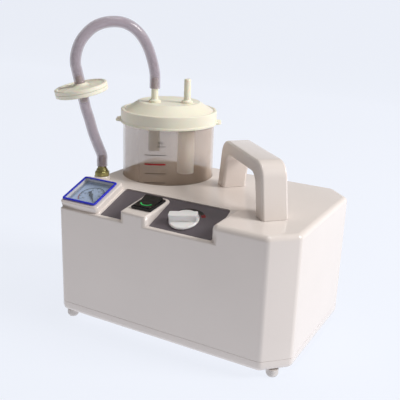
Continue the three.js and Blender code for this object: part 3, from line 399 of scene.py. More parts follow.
@dataclass(frozen=True)
class Ink(Finish):
    """Screen-printed ink with a slightly uneven edge to its cover."""

    colour: Colour
    roughness: float = 0.5
    # painted_glow: emission in the ink's own colour, a painted glow on print that is no lamp
    painted_glow: float = 0.0

    def sockets(self, graph: Graph) -> dict[str, Any]:
        """The ink's shader inputs."""
        cover = graph.noise(0.8, 4.0).ramp(0.3, 0.8)
        shade = graph.blend(cover, darker(self.colour, 0.85), self.colour)
        return dict(
            Base_Color=shade,
            Roughness=self.roughness + cover * 0.1,
            # The emission is a painted glow, set by painted_glow
            Emission_Color=shade,
            Emission_Strength=self.painted_glow,
            Normal=graph.bump(cover, 0.01),
        )


@dataclass(frozen=True)
class Enamel(Finish):
    """Enamelled sheet metal with orange peel and a few dull spots."""

    colour: Colour
    roughness: float = 0.35

    def sockets(self, graph: Graph) -> dict[str, Any]:
        """The enamel's shader inputs."""
        peel = graph.noise(1.5, 2.0)
        spots = graph.noise(12.0, 5.0).ramp(0.5, 0.7)
        return dict(
            Base_Color=graph.blend(spots, self.colour, darker(self.colour, 1.3)),
            Roughness=self.roughness + spots * 0.2,
            Metallic=0.2,
            Normal=graph.bump(peel, 0.04),
            Coat_Weight=0.3,
        )


WHITE = MouldedPlastic(
    linear(236, 227, 221), roughness=0.2, coat=0.35, grain_depth=0.008, scuff=0.06
)
CREAM = MouldedPlastic(
    linear(245, 241, 222),
    roughness=0.38,
    mottle=0.04,
    mottle_size=25.0,
    grain_depth=0.03,
    scatter=0.15,
)
BRASS = Metal(linear(166, 160, 108), roughness=0.3, tarnish=0.5)
STEEL = Metal(linear(190, 193, 198), roughness=0.3)
ALUMINIUM = Metal(linear(172, 176, 181), roughness=0.42, mark_size=0.8, marks=(1.0, 1.0, 1.0))

SLOT_FINISHES: dict[str, Finish] = {
    "casing_white": WHITE,
    "panel_grey": MouldedPlastic(
        linear(100, 93, 99),
        roughness=0.4,
        mottle=0.08,
        grain_size=0.45,
        grain_depth=0.06,
        scuff=0.15,
    ),
    "foot_white": Rubber(linear(214, 208, 204), roughness=0.6),
    "steel": STEEL,
    "black_plastic": MouldedPlastic(
        linear(24, 24, 26), roughness=0.38, mottle=0.2, grain_depth=0.03
    ),
    "switch_black": MouldedPlastic(
        linear(16, 16, 18), roughness=0.22, mottle=0.1, grain_depth=0.01
    ),
    "knob_white": MouldedPlastic(
        linear(252, 251, 250), roughness=0.32, mottle_size=12.0, scatter=0.1
    ),
    "gauge_blue": MouldedPlastic(
        linear(22, 34, 205), roughness=0.2, coat=0.4, mottle_size=10.0
    ),
    "lens_clear": SheerPlastic(
        linear(206, 226, 250), veil=0.1, edge=0.3, roughness=0.05, ripple_depth=0.004
    ),
    "dial_card": MouldedPlastic(
        linear(186, 204, 230), roughness=0.55, mottle_size=8.0, grain_depth=0.02
    ),
    "gauge_metal": STEEL,
    "needle_black": Ink(linear(14, 14, 16), roughness=0.35),
    "brass": BRASS,
    "jar_clear": SheerPlastic(linear(228, 208, 190), veil=0.2, edge=0.4, frost=0.22),
    "lid_cream": CREAM,
    "gasket_white": Rubber(linear(232, 230, 224), roughness=0.5),
    "tube_grey": SheerPlastic(linear(240, 240, 234), veil=0.7, edge=0.3, roughness=0.3),
    "tube_white": MouldedPlastic(
        linear(252, 252, 248), roughness=0.3, scatter=0.2, mottle_size=20.0
    ),
    "float_red": MouldedPlastic(linear(158, 34, 30), roughness=0.4),
    "seal_black": Rubber(linear(26, 26, 28)),
    "hose_clear": SheerPlastic(
        linear(180, 164, 174), veil=0.42, edge=0.4, roughness=0.16, haze=0.08, ripple_size=7.0
    ),
    "filter_cream": CREAM,
    "membrane_white": Rubber(linear(246, 246, 242), roughness=0.85),
    "motor_enamel": Enamel(linear(52, 58, 66)),
    "pump_aluminium": ALUMINIUM,
    "fan_white": MouldedPlastic(linear(226, 226, 222), roughness=0.45),
    "fuse_glass": ClearPlastic(linear(244, 248, 250), roughness=0.02, haze=0.02),
    "mark_black": Ink(linear(52, 46, 44)),
    "mark_red": Ink(linear(172, 14, 30)),
    "scale_red": Ink(linear(132, 22, 28)),
    "scale_black": Ink(linear(18, 18, 26)),
    "crescent_black": Ink(linear(18, 16, 18), roughness=0.3),
    # The green arc on the rocker is print with a painted glow, not a lamp
    "green_print_painted_glow": Ink(linear(24, 160, 72), roughness=0.3, painted_glow=0.7),
}


class Paints:
    """Makes each finish once and hands it out by the name of its slot."""

    def __init__(self) -> None:
        """Starts with nothing mixed."""
        self.made: dict[str, bpy.types.Material] = {}

    def __getitem__(self, slot: str) -> bpy.types.Material:
        """The material of a slot."""
        if slot not in self.made:
            self.made[slot] = SLOT_FINISHES[slot].material(slot)
        return self.made[slot]


# ---- Surfaces -----------------------------------------------------------------------------------


def rounded(corners: Array, radii: Array, steps: int = 6) -> Array:
    """Turns each corner of an outline into an arc.

    The arc's centre stands radius / sin(half angle) from the corner along its bisector, and the two
    spokes from the centre to the tangent points are turned into each other by a spherical mix:
    (sin((1 - t) W) a + sin(t W) b) / sin W, with W the angle between them.

    Args:
        corners: n by 2 outline, closed.
        radii: n radii, 0 for a sharp corner or a free end.
        steps: segments in one arc.

    Returns:
        n * (steps + 1) by 2 outline.
    """
    corners, radii = np.asarray(corners, float), np.asarray(radii, float)
    back = np.roll(corners, 1, axis=0) - corners
    ahead = np.roll(corners, -1, axis=0) - corners
    back /= np.maximum(np.linalg.norm(back, axis=1, keepdims=True), 1e-9)
    ahead /= np.maximum(np.linalg.norm(ahead, axis=1, keepdims=True), 1e-9)
    half = np.arccos(np.clip((back * ahead).sum(axis=1), -1, 1)) / 2
    bisector = back + ahead
    bisector /= np.maximum(np.linalg.norm(bisector, axis=1, keepdims=True), 1e-9)
    centre = corners + bisector * (radii / np.maximum(np.sin(half), 1e-6))[:, None]
    reach = (radii / np.maximum(np.tan(half), 1e-6))[:, None]
    first = corners + back * reach - centre
    second = corners + ahead * reach - centre
    turn = np.maximum(math.pi - 2 * half, 1e-6)[:, None, None]
    share = np.linspace(0, 1, steps + 1)[None, :, None]
    arc = np.sin((1 - share) * turn) * first[:, None] + np.sin(share * turn) * second[:, None]
    return (centre[:, None] + arc / np.sin(turn)).reshape(-1, 2)


def resampled(line: Array, count: int) -> Array:
    """Spaces points evenly along a line by its length.

    Args:
        line: n by k points.
        count: the number of points wanted.

    Returns:
        count by k points.
    """
    step = np.linalg.norm(np.diff(line, axis=0), axis=1)
    length = np.concatenate([[0.0], np.cumsum(step)])
    wanted = np.linspace(0, length[-1], count)
    return np.stack([np.interp(wanted, length, axis) for axis in line.T], axis=1)


def through(points: Array, per_span: int = 24) -> Array:
    """A centripetal Catmull-Rom curve through points.

    Each span is the cubic x1 + t1 s + (3 (x2 - x1) - 2 t1 - t2) s^2 + (2 (x1 - x2) + t1 + t2) s^3,
    where the tangents t1 and t2 come from the square roots of the distances to the neighbours.

    Args:
        points: n by 3 points.
        per_span: samples in one span.

    Returns:
        (n - 1) * per_span + 1 by 3 points.
    """
    padded = np.vstack([2 * points[0] - points[1], points, 2 * points[-1] - points[-2]])
    knot = np.sqrt(np.linalg.norm(np.diff(padded, axis=0), axis=1))[:, None]
    x0, x1, x2, x3 = padded[:-3], padded[1:-2], padded[2:-1], padded[3:]
    d0, d1, d2 = knot[:-2], knot[1:-1], knot[2:]
    t1 = ((x1 - x0) / d0 - (x2 - x0) / (d0 + d1) + (x2 - x1) / d1) * d1
    t2 = ((x2 - x1) / d1 - (x3 - x1) / (d1 + d2) + (x3 - x2) / d2) * d1
    s = np.linspace(0, 1, per_span, endpoint=False)[None, :, None]
    square = (3 * (x2 - x1) - 2 * t1 - t2)[:, None]
    cube = (2 * (x1 - x2) + t1 + t2)[:, None]
    curve = x1[:, None] + t1[:, None] * s + square * s**2 + cube * s**3
    return np.vstack([curve.reshape(-1, 3), points[-1]])


@dataclass(frozen=True)
class Placement:
    """A plane that pieces are drawn on: x to the right, y up the plane, z out of it."""

    origin: Array
    turn: Array = field(default_factory=lambda: np.eye(3))

    def __call__(self, points: Array) -> Array:
        """Moves points drawn on the plane into the frame."""
        return points @ self.turn.T + self.origin

    def moved(self, x: float, y: float, degrees: float = 0.0) -> "Placement":
        """A plane on this one, shifted and turned about its normal.

        Args:
            x: the shift to the right.
            y: the shift up the plane.
            degrees: the turn about the normal.

        Returns:
            The new plane.
        """
        origin = self(np.array([x, y, 0.0]))
        angle = math.radians(degrees)
        cos, sin = math.cos(angle), math.sin(angle)
        return Placement(origin, self.turn @ np.array([[cos, -sin, 0], [sin, cos, 0], [0, 0, 1.0]]))


def tilted(x: float, y: float, z: float, degrees: float) -> Placement:
    """A plane through a point, tilted about the X axis."""
    cos, sin = math.cos(math.radians(degrees)), math.sin(math.radians(degrees))
    return Placement(np.array([x, y, z]), np.array([[1, 0, 0], [0, cos, -sin], [0, sin, cos]]))


def upright(x: float, y: float, z: float = 0.0) -> Placement:
    """A level plane through a point."""
    return Placement(np.array([x, y, z]))


def mesh_of(name: str, points: Array, faces: Sequence[Sequence[int]]) -> bpy.types.Mesh:
    """Makes a mesh in metres, merges what meets, and points its faces outwards.

    Args:
        name: the mesh's name.
        points: n by 3 points in millimetres.
        faces: lists of point numbers.

    Returns:
        The mesh.
    """
    mesh = bpy.data.meshes.new(name)
    mesh.from_pydata((np.asarray(points).reshape(-1, 3) * MM).tolist(), [], faces)
    shell = bmesh.new()
    shell.from_mesh(mesh)
    bmesh.ops.remove_doubles(shell, verts=shell.verts, dist=1e-6)
    bmesh.ops.recalc_face_normals(shell, faces=shell.faces)
    shell.to_mesh(mesh)
    shell.free()
    return mesh


def grid_faces(rows: int, columns: int, wrap_rows: bool, wrap_columns: bool) -> list[list[int]]:
    """Quads of a grid of points.

    Args:
        rows: points along the first direction.
        columns: points along the second direction.
        wrap_rows: whether the last row meets the first.
        wrap_columns: whether the last column meets the first.

    Returns:
        Four point numbers for each quad.
    """
    i, j = np.meshgrid(
        np.arange(rows if wrap_rows else rows - 1),
        np.arange(columns if wrap_columns else columns - 1),
        indexing="ij",
    )
    here, ahead, beside = i * columns, (i + 1) % rows * columns, (j + 1) % columns
    quads = np.stack([here + j, ahead + j, ahead + beside, here + beside], axis=-1)
    return quads.reshape(-1, 4).tolist()


def turned(
    name: str, profile: Array, place: Placement, sides: int = 96, relief: Relief | None = None
) -> bpy.types.Mesh:
    """A solid of revolution: (r cos a, r sin a, z) over the profile and the angle a.

    Args:
        name: the mesh's name.
        profile: n by 2 points of radius and height, open where it meets the axis, else closed.
        place: the plane that it stands on.
        sides: points round the axis.
        relief: changes the radius and height at each angle, for flats and ribs.

    Returns:
        The mesh.
    """
    angle = np.linspace(0, FULL_TURN, sides, endpoint=False)[None, :]
    radius, height = (np.repeat(column[:, None], sides, axis=1) for column in profile.T)
    if relief:
        radius, height = relief(radius, height, angle)
    points = np.stack([radius * np.cos(angle), radius * np.sin(angle), height], axis=-1)
    ring = bool(profile[:, 0].min() > TINY)
    return mesh_of(name, place(points), grid_faces(len(profile), sides, ring, True))


def looped(name: str, loops: Array) -> bpy.types.Mesh:
    """A skin over closed loops, rows by columns by 3 points, whose last row meets the first."""
    return mesh_of(name, loops, grid_faces(*loops.shape[:2], True, True))


def lofted(name: str, loops: Array, place: Placement) -> bpy.types.Mesh:
    """A skin over closed loops, with a flat cap at each end.

    Args:
        name: the mesh's name.
        loops: rows by columns by 3 points; each row is one loop.
        place: the plane that it stands on.

    Returns:
        The mesh.
    """
    rows, columns = loops.shape[:2]
    faces = grid_faces(rows, columns, False, True)
    faces.append(list(range(columns)))
    faces.append(list(range((rows - 1) * columns, rows * columns)))
    return mesh_of(name, place(loops), faces)


def flat(
    name: str, outline: Array, bottom: float, top: float, place: Placement
) -> bpy.types.Mesh:
    """A thin plate with the outline given, for printed marks.

    Args:
        name: the mesh's name.
        outline: n by 2 points.
        bottom: the height of its underside.
        top: the height of its face.
        place: the plane that it lies on.

    Returns:
        The mesh.
    """
    faces = [np.column_stack([outline, np.full(len(outline), h)]) for h in (bottom, top)]
    return lofted(name, np.stack(faces), place)


class Maker:
    """Turns meshes into finished pieces that ride on the frame's bodies."""

    def __init__(self, frame: Mapping[str, Any]) -> None:
        self.frame = frame
        self.paints = Paints()
        self.stood_for: set[str] = set()

    def piece(
        self,
        mesh: bpy.types.Mesh,
        body: Body,
        slot: str,
        replaces: Sequence[str] = (),
        sharp: float = 35.0,
        paint: str | None = None,
    ) -> bpy.types.Object:
        """Makes an object of a mesh, shades it, paints it and sets it on its body.

        Args:
            mesh: the piece's mesh.
            body: the body that it rides on.
            slot: the record's slot of its finish.
            replaces: the nodes that it stands for.
            sharp: edges that turn more than this many degrees stay sharp.
            paint: the finish, where it isn't the slot's own.

        Returns:
            The object.
        """
        made = bpy.data.objects.new(mesh.name, mesh)
        bpy.context.scene.collection.objects.link(made)
        mesh.materials.clear()
        mesh.materials.append(self.paints[paint or slot])
        mesh.shade_smooth()
        mesh.set_sharp_from_angle(angle=math.radians(sharp))
        weight = made.modifiers.new("even_shading", "WEIGHTED_NORMAL")
        weight.keep_sharp = True
        weight.weight = 80
        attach(made, body.value)
        if replaces:
            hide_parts(*replaces)
            self.stood_for.update(replaces)
        LOG.info("%s rides on %s in %s", made.name, body.value, slot)
        return made

    def copied(
        self, node: str, body: Body, slot: str, bevel: float = 0.0, sharp: float = 35.0
    ) -> bpy.types.Object:
        """A smoothly shaded copy of a node, with merged points and flat areas made one face.

        Args:
            node: the node to copy.
            body: the body that it rides on.
            slot: the slot of its finish.
            bevel: the width of a small round on its edges, in millimetres.
            sharp: edges that turn more than this many degrees stay sharp.

        Returns:
            The object that stands for the node.
        """
        mesh = self.frame["nodes"][node].data.copy()
        mesh.name = node + "_skin"
        shell = bmesh.new()
        shell.from_mesh(mesh)
        bmesh.ops.remove_doubles(shell, verts=shell.verts, dist=2e-6)
        bmesh.ops.dissolve_limit(
            shell, angle_limit=math.radians(0.3), verts=shell.verts, edges=shell.edges
        )
        shell.to_mesh(mesh)
        shell.free()
        made = self.piece(mesh, body, slot, [node], sharp)
        if bevel:
            soften = made.modifiers.new("edge_round", "BEVEL")
            soften.width = bevel * MM
            soften.segments = 2
            soften.limit_method = "ANGLE"
            soften.angle_limit = math.radians(sharp)
            made.modifiers.move(1, 0)
        return made

    def dress_rest(self) -> None:
        """Paints every node that no piece stands for with the finish of its own slot."""
        rows = self.frame["record"]["subparts"]
        for node, slot in ((row["node"], row["material_slot"]) for row in rows):
            if node in self.stood_for:
                continue
            thing = self.frame["nodes"][node]
            for holder in thing.material_slots:
                holder.material = self.paints[slot]
            LOG.info("%s keeps its own mesh, in %s", node, slot)


def block_loops(
    half_x: float,
    half_y: float,
    corner: float,
    bottom: float,
    top: float,
    edge: float,
    steps: int = 5,
) -> Array:
    """Loops of a slab with rounded corners and rounded top and bottom edges.

    Going up, the plan is inset by edge (1 - cos a) while the height rises by edge sin a.

    Args:
        half_x: half the length.
        half_y: half the width.
        corner: the radius of the plan's corners.
        bottom: the underside.
        top: the face.
        edge: the radius of the edges.
        steps: segments in a round.

    Returns:
        rows by columns by 3 points.
    """
    angle = np.linspace(0, math.pi / 2, steps + 1)
    rising, falling = edge * (1 - np.cos(angle)), edge * (1 - np.sin(angle))
    inset = np.concatenate([falling, rising])
    height = np.concatenate([bottom + rising, top - falling])
    signs = np.array([[-1, -1], [1, -1], [1, 1], [-1, 1.0]])
    unit = rounded(signs * [half_x, half_y], np.full(4, corner), steps)
    centre = np.repeat(signs * [half_x - corner, half_y - corner], steps + 1, axis=0)
    spoke = unit - centre
    shrink = 1 - inset[:, None, None] / corner
    plan = centre[None] + spoke[None] * shrink
    rise = np.broadcast_to(height[:, None, None], (len(height), len(unit), 1))
    return np.concatenate([plan, rise], axis=-1)


def arc_band(
    inner: float, outer: Array | float, start: float, end: float, count: int = 48
) -> Array:
    """The outline of a band between two radii.

    Args:
        inner: the inner radius.
        outer: the outer radius, or one radius for each step.
        start: the first angle in degrees.
        end: the last angle in degrees.
        count: points along each side.

    Returns:
        2 * count by 2 points.
    """
    angle = np.radians(np.linspace(start, end, count))
    spoke = np.stack([np.cos(angle), np.sin(angle)], axis=1)
    far = spoke * np.broadcast_to(outer, (count,))[:, None]
    return np.vstack([spoke * inner, far[::-1]])


# ---- Studio -------------------------------------------------------------------------------------


@dataclass(frozen=True)
class SoftBox:
    """A square soft box: its stand, the point that it faces, its side in metres and its watts."""

    name: str
    place: Colour
    aim: Colour
    size: float
    power: float
    warmth: Colour

    def hang(self) -> None:
        """Adds the box to the scene."""
        data = bpy.data.lights.new(self.name, "AREA")
        data.shape, data.size = "SQUARE", self.size
        data.energy, data.color = self.power, self.warmth
        box = bpy.data.objects.new(self.name, data)
        box.location = self.place
        facing = Vector(self.aim) - Vector(self.place)
        box.rotation_euler = facing.to_track_quat("-Z", "Y").to_euler()
        bpy.context.scene.collection.objects.link(box)


@dataclass
class Studio:
    """The camera, the pale backdrop, a strong box at the right and behind, and a weak one above."""

    position: Colour = (0.3277, -0.6288, 0.3736)
    forward: Colour = (-0.4521, 0.837, -0.3083)
    lens: float = 58.5
    sensor: float = 36.0
    roll: float = 2.08
    paper: Colour = linear(238, 242, 251)
    paper_glow: float = 0.9
    paper_shade: float = 0.12
    sky: Colour = (1.0, 0.93, 0.88)
    sky_light: float = 0.26
    floor_near: float = -0.8
    floor_far: float = 2.6
    wall_height: float = 3.0
    bend: float = 0.9
    bend_steps: int = 24
    half_width: float = 3.5
    boxes: tuple[SoftBox, ...] = (
        SoftBox("key", (1.7, 0.4, 1.35), (0.05, 0.0, 0.12), 0.7, 33.0, (1.0, 0.99, 0.98)),
        SoftBox("fill", (0.3, 0.1, 1.8), (0.0, 0.0, 0.15), 0.5, 6.0, (0.97, 0.99, 1.0)),
    )

    def camera(self) -> None:
        """Sets the camera by its place, the way it looks and its roll about that way."""
        forward = Vector(self.forward).normalized()
        right = forward.cross(Vector((0, 0, 1))).normalized()
        up = right.cross(forward)
        cos, sin = math.cos(math.radians(self.roll)), math.sin(math.radians(self.roll))
        right, up = right * cos + up * sin, up * cos - right * sin
        data = bpy.data.cameras.new("camera")
        data.lens, data.sensor_width = self.lens, self.sensor
        data.clip_start, data.clip_end = 0.05, 20.0
        eye = bpy.data.objects.new("camera", data)
        turn = Matrix((right, up, -forward)).transposed().to_4x4()
        eye.matrix_world = Matrix.Translation(self.position) @ turn
        bpy.context.scene.collection.objects.link(eye)
        bpy.context.scene.camera = eye

    def backdrop(self) -> None:
        """A floor that bends up into a wall: a side view carried across the studio's width."""
        near, far, top = self.floor_near, self.floor_far, self.wall_height
        outline = [[near, 0.0], [far, 0.0], [far, top], [near, top]]
        side = rounded(outline, [0.0, self.bend, 0.0, 0.0], self.bend_steps)
        side = side[: 2 * (self.bend_steps + 1)]
        edges = [
            np.column_stack([np.full(len(side), x), side])
            for x in (-self.half_width, self.half_width)
        ]
        rows = np.stack(edges, axis=1)
        mesh = bpy.data.meshes.new("backdrop")
        faces = [quad[::-1] for quad in grid_faces(len(side), 2, False, False)]
        mesh.from_pydata(rows.reshape(-1, 3).tolist(), [], faces)
        mesh.shade_smooth()
        mesh.materials.append(self.paper_material())
        paper = bpy.data.objects.new("backdrop", mesh)
        bpy.context.scene.collection.objects.link(paper)

    def paper_material(self) -> bpy.types.Material:
        """The backdrop's paper, which glows so that it stays nearly white."""
        graph = Graph("backdrop_paper")
        fibre = graph.noise(3.0, 3.0)
        cloud = graph.noise(400.0, 2.0)
        low, high = (darker(self.paper, self.paper_shade * share) for share in (0.9, 1.0))
        return graph.finish(
            Base_Color=graph.blend(cloud, low, high),
            Roughness=0.85 + fibre * 0.1,
            Emission_Color=(*self.paper, 1.0),
            Emission_Strength=self.paper_glow,
        )

    def lights(self) -> None:
        """The soft boxes and an even sky, shown in plain display colours."""
        for box in self.boxes:
            box.hang()
        world = bpy.data.worlds.new("studio")
        world.use_nodes = True
        air = world.node_tree.nodes["Background"]
        air.inputs["Color"].default_value = (*self.sky, 1.0)
        air.inputs["Strength"].default_value = self.sky_light
        scene = bpy.context.scene
        scene.world = world
        scene.view_settings.view_transform = "Standard"
        scene.view_settings.look = "None"

    def build(self) -> None:
        """Sets up the whole studio."""
        self.camera()
        self.backdrop()
        self.lights()


# ---- Hoses, filter and barb ---------------------------------------------------------------------


@dataclass
class HoseLine:
    """The hoses, which stand in the upright plane from the spigot to the barb, and the filter."""

    maker: Maker
    spigot: tuple[float, float] = (-88.0, 19.1)
    barb: tuple[float, float] = (-129.5, -29.5)
    radius: float = 6.2
    bore: float = 4.6
    filter_along: float = 86.6
    filter_height: float = 261.5
    filter_lean: float = 12.0
    filter_radius: float = 30.0
    filter_half: float = 4.6
    port_radius: float = 4.0
    port_bore: float = 2.3
    port_end: float = 15.0
    upper_route: tuple[tuple[float, float], ...] = (
        (0, 261.1), (0, 269.1), (0.4, 279.1), (4.2, 295), (9, 308), (16, 319.8), (25, 328.8),
        (36, 334.4), (47.5, 336), (60, 334.5), (70.5, 330.3), (79.5, 323), (86.8, 313.5),
        (91.2, 302), (92.6, 291),
    )
    lower_route: tuple[tuple[float, float], ...] = (
        (78.4, 228), (73.6, 210), (68.2, 195), (63.9, 183), (63.9, 177), (63.9, 171),
    )
    port_steps: tuple[float, ...] = (22.3, 15.3, 7.3)
    line_points: int = 140
    ring_points: int = 40
    rib_height: float = 0.55
    rib_count: int = 12
    rib_from: float = 11.5
    hexagon: float = 8.0
    flange: tuple[float, float] = (159.0, 164.7)
    flange_neck: float = 6.9

    @property
    def along(self) -> Array:
        """The plane's level direction."""
        gap = np.subtract(self.barb, self.spigot)
        return gap / np.linalg.norm(gap)

    @property
    def across(self) -> Array:
        """The plane's normal."""
        return np.array([-self.along[1], self.along[0], 0.0])

    def in_plane(self, route: Array) -> Array:
        """Points of the upright plane in the frame: the spigot's axis plus the run along it."""
        route = np.asarray(route, float)
        flat = np.asarray(self.spigot) + route[:, :1] * self.along
        return np.column_stack([flat, route[:, 1]])

    def on_axis(self, distances: Sequence[float]) -> Array:
        """Points of the plane on the filter's axis, at distances above its middle."""
        lean = math.radians(self.filter_lean)
        step = np.array(distances)[:, None] * [math.sin(lean), math.cos(lean)]
        return np.array([self.filter_along, self.filter_height]) + step

    def hose(self, name: str, route: Array) -> tuple[bpy.types.Mesh, Array]:
        """A tube: centre + r (cos a N + sin a B), with B the plane's normal and N = T x B.

        Args:
            name: the mesh's name.
            route: the points of the plane that it goes through.

        Returns:
            The mesh, and its centreline in metres.
        """
        line = resampled(through(self.in_plane(route)), self.line_points)
        run = np.gradient(line, axis=0)
        run /= np.linalg.norm(run, axis=1, keepdims=True)
        angle = np.linspace(0, FULL_TURN, self.ring_points, endpoint=False)[None, :, None]
        out = np.cross(run, self.across)
        ring = out[:, None] * np.cos(angle) + self.across * np.sin(angle)
        outer = line[:, None] + ring * self.radius
        inner = line[::-1, None] + ring[::-1] * self.bore
        return looped(name, np.concatenate([outer, inner])), line * MM

    def hoses(self, filter_pieces: Sequence[Any]) -> None:
        """Makes both hoses.

        Args:
            filter_pieces: the filter's pieces, which end the upper hose; not used.
        """
        ports = self.on_axis(self.port_steps)
        below = self.on_axis([-step for step in reversed(self.port_steps)])
        for node, route, far_end, pieces in (
            ("upper_hose", np.vstack([self.upper_route, ports]), "fitting", filter_pieces),
            ("lower_hose", np.vstack([below, self.lower_route]), "object", ()),
        ):
            mesh, line = self.hose(node + "_tube", route)
            made = self.maker.piece(mesh, Body.LID, "hose_clear", [node])
            tuple(line[0])

    def shell(self, name: str, side: float) -> bpy.types.Mesh:
        """Half of the filter's housing: a dished disc with a rim, radial ribs and a port.

        Between the boss and the rim the face is raised by the ribs' height times cos(n a)^8,
        where n is the number of ribs.

        Args:
            name: the mesh's name.
            side: 1 for the upper half, -1 for the lower.

        Returns:
            The mesh.
        """
        half, rim, inside = self.filter_half, self.filter_radius, self.filter_radius - 4.0
        corners = [
            [self.port_bore, half - 1.6], [inside, 1.6], [inside, 0.15], [rim, 0.15],
            [rim, half - 0.6], [rim - 1.2, half], [rim - 3.2, half], [rim - 4.4, half - 0.9],
            [11.0, half - 0.2], [8.4, half + 0.8], [self.radius + 0.6, half + 2.4],
            [self.port_radius, half + 2.6], [self.port_radius, self.port_end - 0.8],
            [self.port_radius - 0.6, self.port_end], [self.port_bore, self.port_end],
        ]
        radii = [0, 0, 0, 0.1, 0.5, 0.5, 0.5, 0.5, 1.0, 0.8, 0.6, 0.5, 0.3, 0.2, 0.2]
        lean = math.radians(self.filter_lean)
        axis = np.array([*(self.along * math.sin(lean)), math.cos(lean)]) * side
        turn = np.column_stack([self.across, np.cross(axis, self.across), axis])
        centre = self.in_plane(self.on_axis([0.0]))[0]

        def ribs(radius: Array, height: Array, angle: Array) -> tuple[Array, Array]:
            """Raises the ribs on the dished face."""
            face = (height > half - 1.0) & (radius > self.rib_from) & (radius < rim - 4.0)
            wave = np.clip(np.cos(self.rib_count * angle), 0, 1) ** 8
            return radius, height + self.rib_height * wave * face

        return turned(name, rounded(corners, radii, 4), Placement(centre, turn), 192, ribs)

    def fitting(self) -> bpy.types.Mesh:
        """The brass barb: a profile of revolution whose flange has six flats.

        Where the flange shows, the radius is the lesser of the profile's and the hexagon's,
        apothem / cos of the angle from the nearest flat.

        Returns:
            The mesh.
        """
        corners = [
            [2.0, 152.0], [4.0, 152.0], [4.0, 159.3], [9.2, 159.3], [9.2, 163.6], [6.8, 164.6],
            [6.6, 166.6], [5.2, 168.2], [5.2, 169.8], [4.0, 170.4], [4.0, 173.2],
            [4.2, 175.2], [4.5, 175.4], [3.9, 178.6], [4.6, 178.8], [3.6, 182.4], [3.2, 183.0],
            [2.0, 183.0],
        ]
        radii = [0, 0, 0, 0.4, 0.5, 0.4, 0.8, 0.8, 0.4, 0.3, 0.3, 0.3, 0.1, 0.2, 0.1, 0.3, 0.2, 0.1]

        def flats(radius: Array, height: Array, angle: Array) -> tuple[Array, Array]:
            """Cuts six flats on the flange."""
            wedge = np.mod(angle, math.pi / 3) - math.pi / 6
            low, high = self.flange
            flange = (height > low) & (height < high) & (radius > self.flange_neck)
            hexagon = np.where(flange, self.hexagon / np.cos(wedge), radius)
            return np.minimum(radius, hexagon), height

        profile = rounded(corners, radii, 4)
        return turned("suction_barb_turned", profile, upright(*self.barb), 144, flats)

    def build(self) -> None:
        """Makes the filter, then the hoses that meet it, and the barb."""
        shells = [
            self.maker.piece(self.shell(node + "_disc", side), Body.LID, "filter_cream", [node])
            for node, side in (("filter_upper_shell", 1.0), ("filter_lower_shell", -1.0))
        ]
        self.hoses([*shells, self.maker.frame["nodes"]["filter_membrane"]])
        self.maker.piece(self.fitting(), Body.CASING, "brass", ["suction_barb"])


# ---- Casing and handle --------------------------------------------------------------------------


@dataclass
class Casing:
    """The moulded casing, its tray, the feet and the handle."""

    maker: Maker
    foot_radius: float = 6.5
    foot_height: float = 8.7
    handle_place: Colour = (52.6, -3.4, 155.3)
    handle_turn: float = -43.5
    handle_half: float = 69.2
    handle_rise: float = 57.0
    handle_lean: float = 11.7
    handle_leg: float = 19.0
    handle_crown: float = 15.0
    handle_splay: float = 2.0
    handle_width: float = 29.0
    handle_edge: float = 3.4
    handle_bend: float = 19.0
    handle_bend_inside: float = 13.0
    handle_steps: int = 20
    section_points: int = 48

    def feet(self) -> None:
        """Domed feet, each in the middle of its node's box."""
        for place in ("front_left", "front_right", "rear_left", "rear_right"):
            node = "foot_" + place
            low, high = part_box(node)
            x, y = (low[0] + high[0]) / 2 / MM, (low[1] + high[1]) / 2 / MM
            radius, top = self.foot_radius, self.foot_height
            corners = [[0, 0], [radius - 1.6, 0], [radius, 3.0], [radius, top], [0, top]]
            profile = rounded(corners, [0, 1.6, 2.0, 0.3, 0])
            mesh = turned(node + "_pad", profile, upright(x, y), 48)
            self.maker.piece(mesh, Body.CASING, "foot_white", [node])

    def handle(self) -> None:
        """The strap: a rounded rectangle carried along the arch between two outlines.

        A point of the section stands at n along the line from the inner outline to the outer one,
        and at y across the strap.
        """
        half, rise, steps = self.handle_half, self.handle_rise, self.handle_steps
        leg, under = half - self.handle_leg, rise - self.handle_crown
        crown = half - self.handle_lean
        inner_crown = crown - self.handle_leg + self.handle_splay
        outer, inner = (
            rounded([[foot, 0], [top, up], [-top, up], [-foot, 0]], [0, bend, bend, 0], steps)
            for foot, top, up, bend in (
                (half, crown, rise, self.handle_bend),
                (leg, inner_crown, under, self.handle_bend_inside),
            )
        )
        outer, inner = outer[steps:-steps], inner[steps:-steps]
        across = outer - inner
        thick = np.linalg.norm(across, axis=1)[:, None]
        out = across / thick
        angle = np.linspace(0, FULL_TURN, self.section_points, endpoint=False)[None, :]
        edge, wide = self.handle_edge, self.handle_width / 2
        reach = thick / 2 + (thick / 2 - edge) * np.sign(np.cos(angle)) + edge * np.cos(angle)
        sideways = (wide - edge) * np.sign(np.sin(angle)) + edge * np.sin(angle)
        plan = inner[:, None] + out[:, None] * reach[..., None]
        y = np.broadcast_to(sideways, reach.shape)
        loops = np.stack([plan[..., 0], y, plan[..., 1]], axis=-1)
        place = upright(*self.handle_place).moved(0, 0, self.handle_turn)
        mesh = lofted("carry_handle_strap", loops, place)
        self.maker.piece(mesh, Body.CASING, "casing_white", ["carry_handle"])

    def build(self) -> None:
        """Makes the casing's own pieces."""
        for node in ("upper_casing", "base_tray"):
            self.maker.copied(node, Body.CASING, "casing_white", sharp=40.0)
        self.feet()
        self.handle()


# ---- Control panel ------------------------------------------------------------------------------

SLOPE = tilted(0.0, -98.0, 135.5, 19.2)


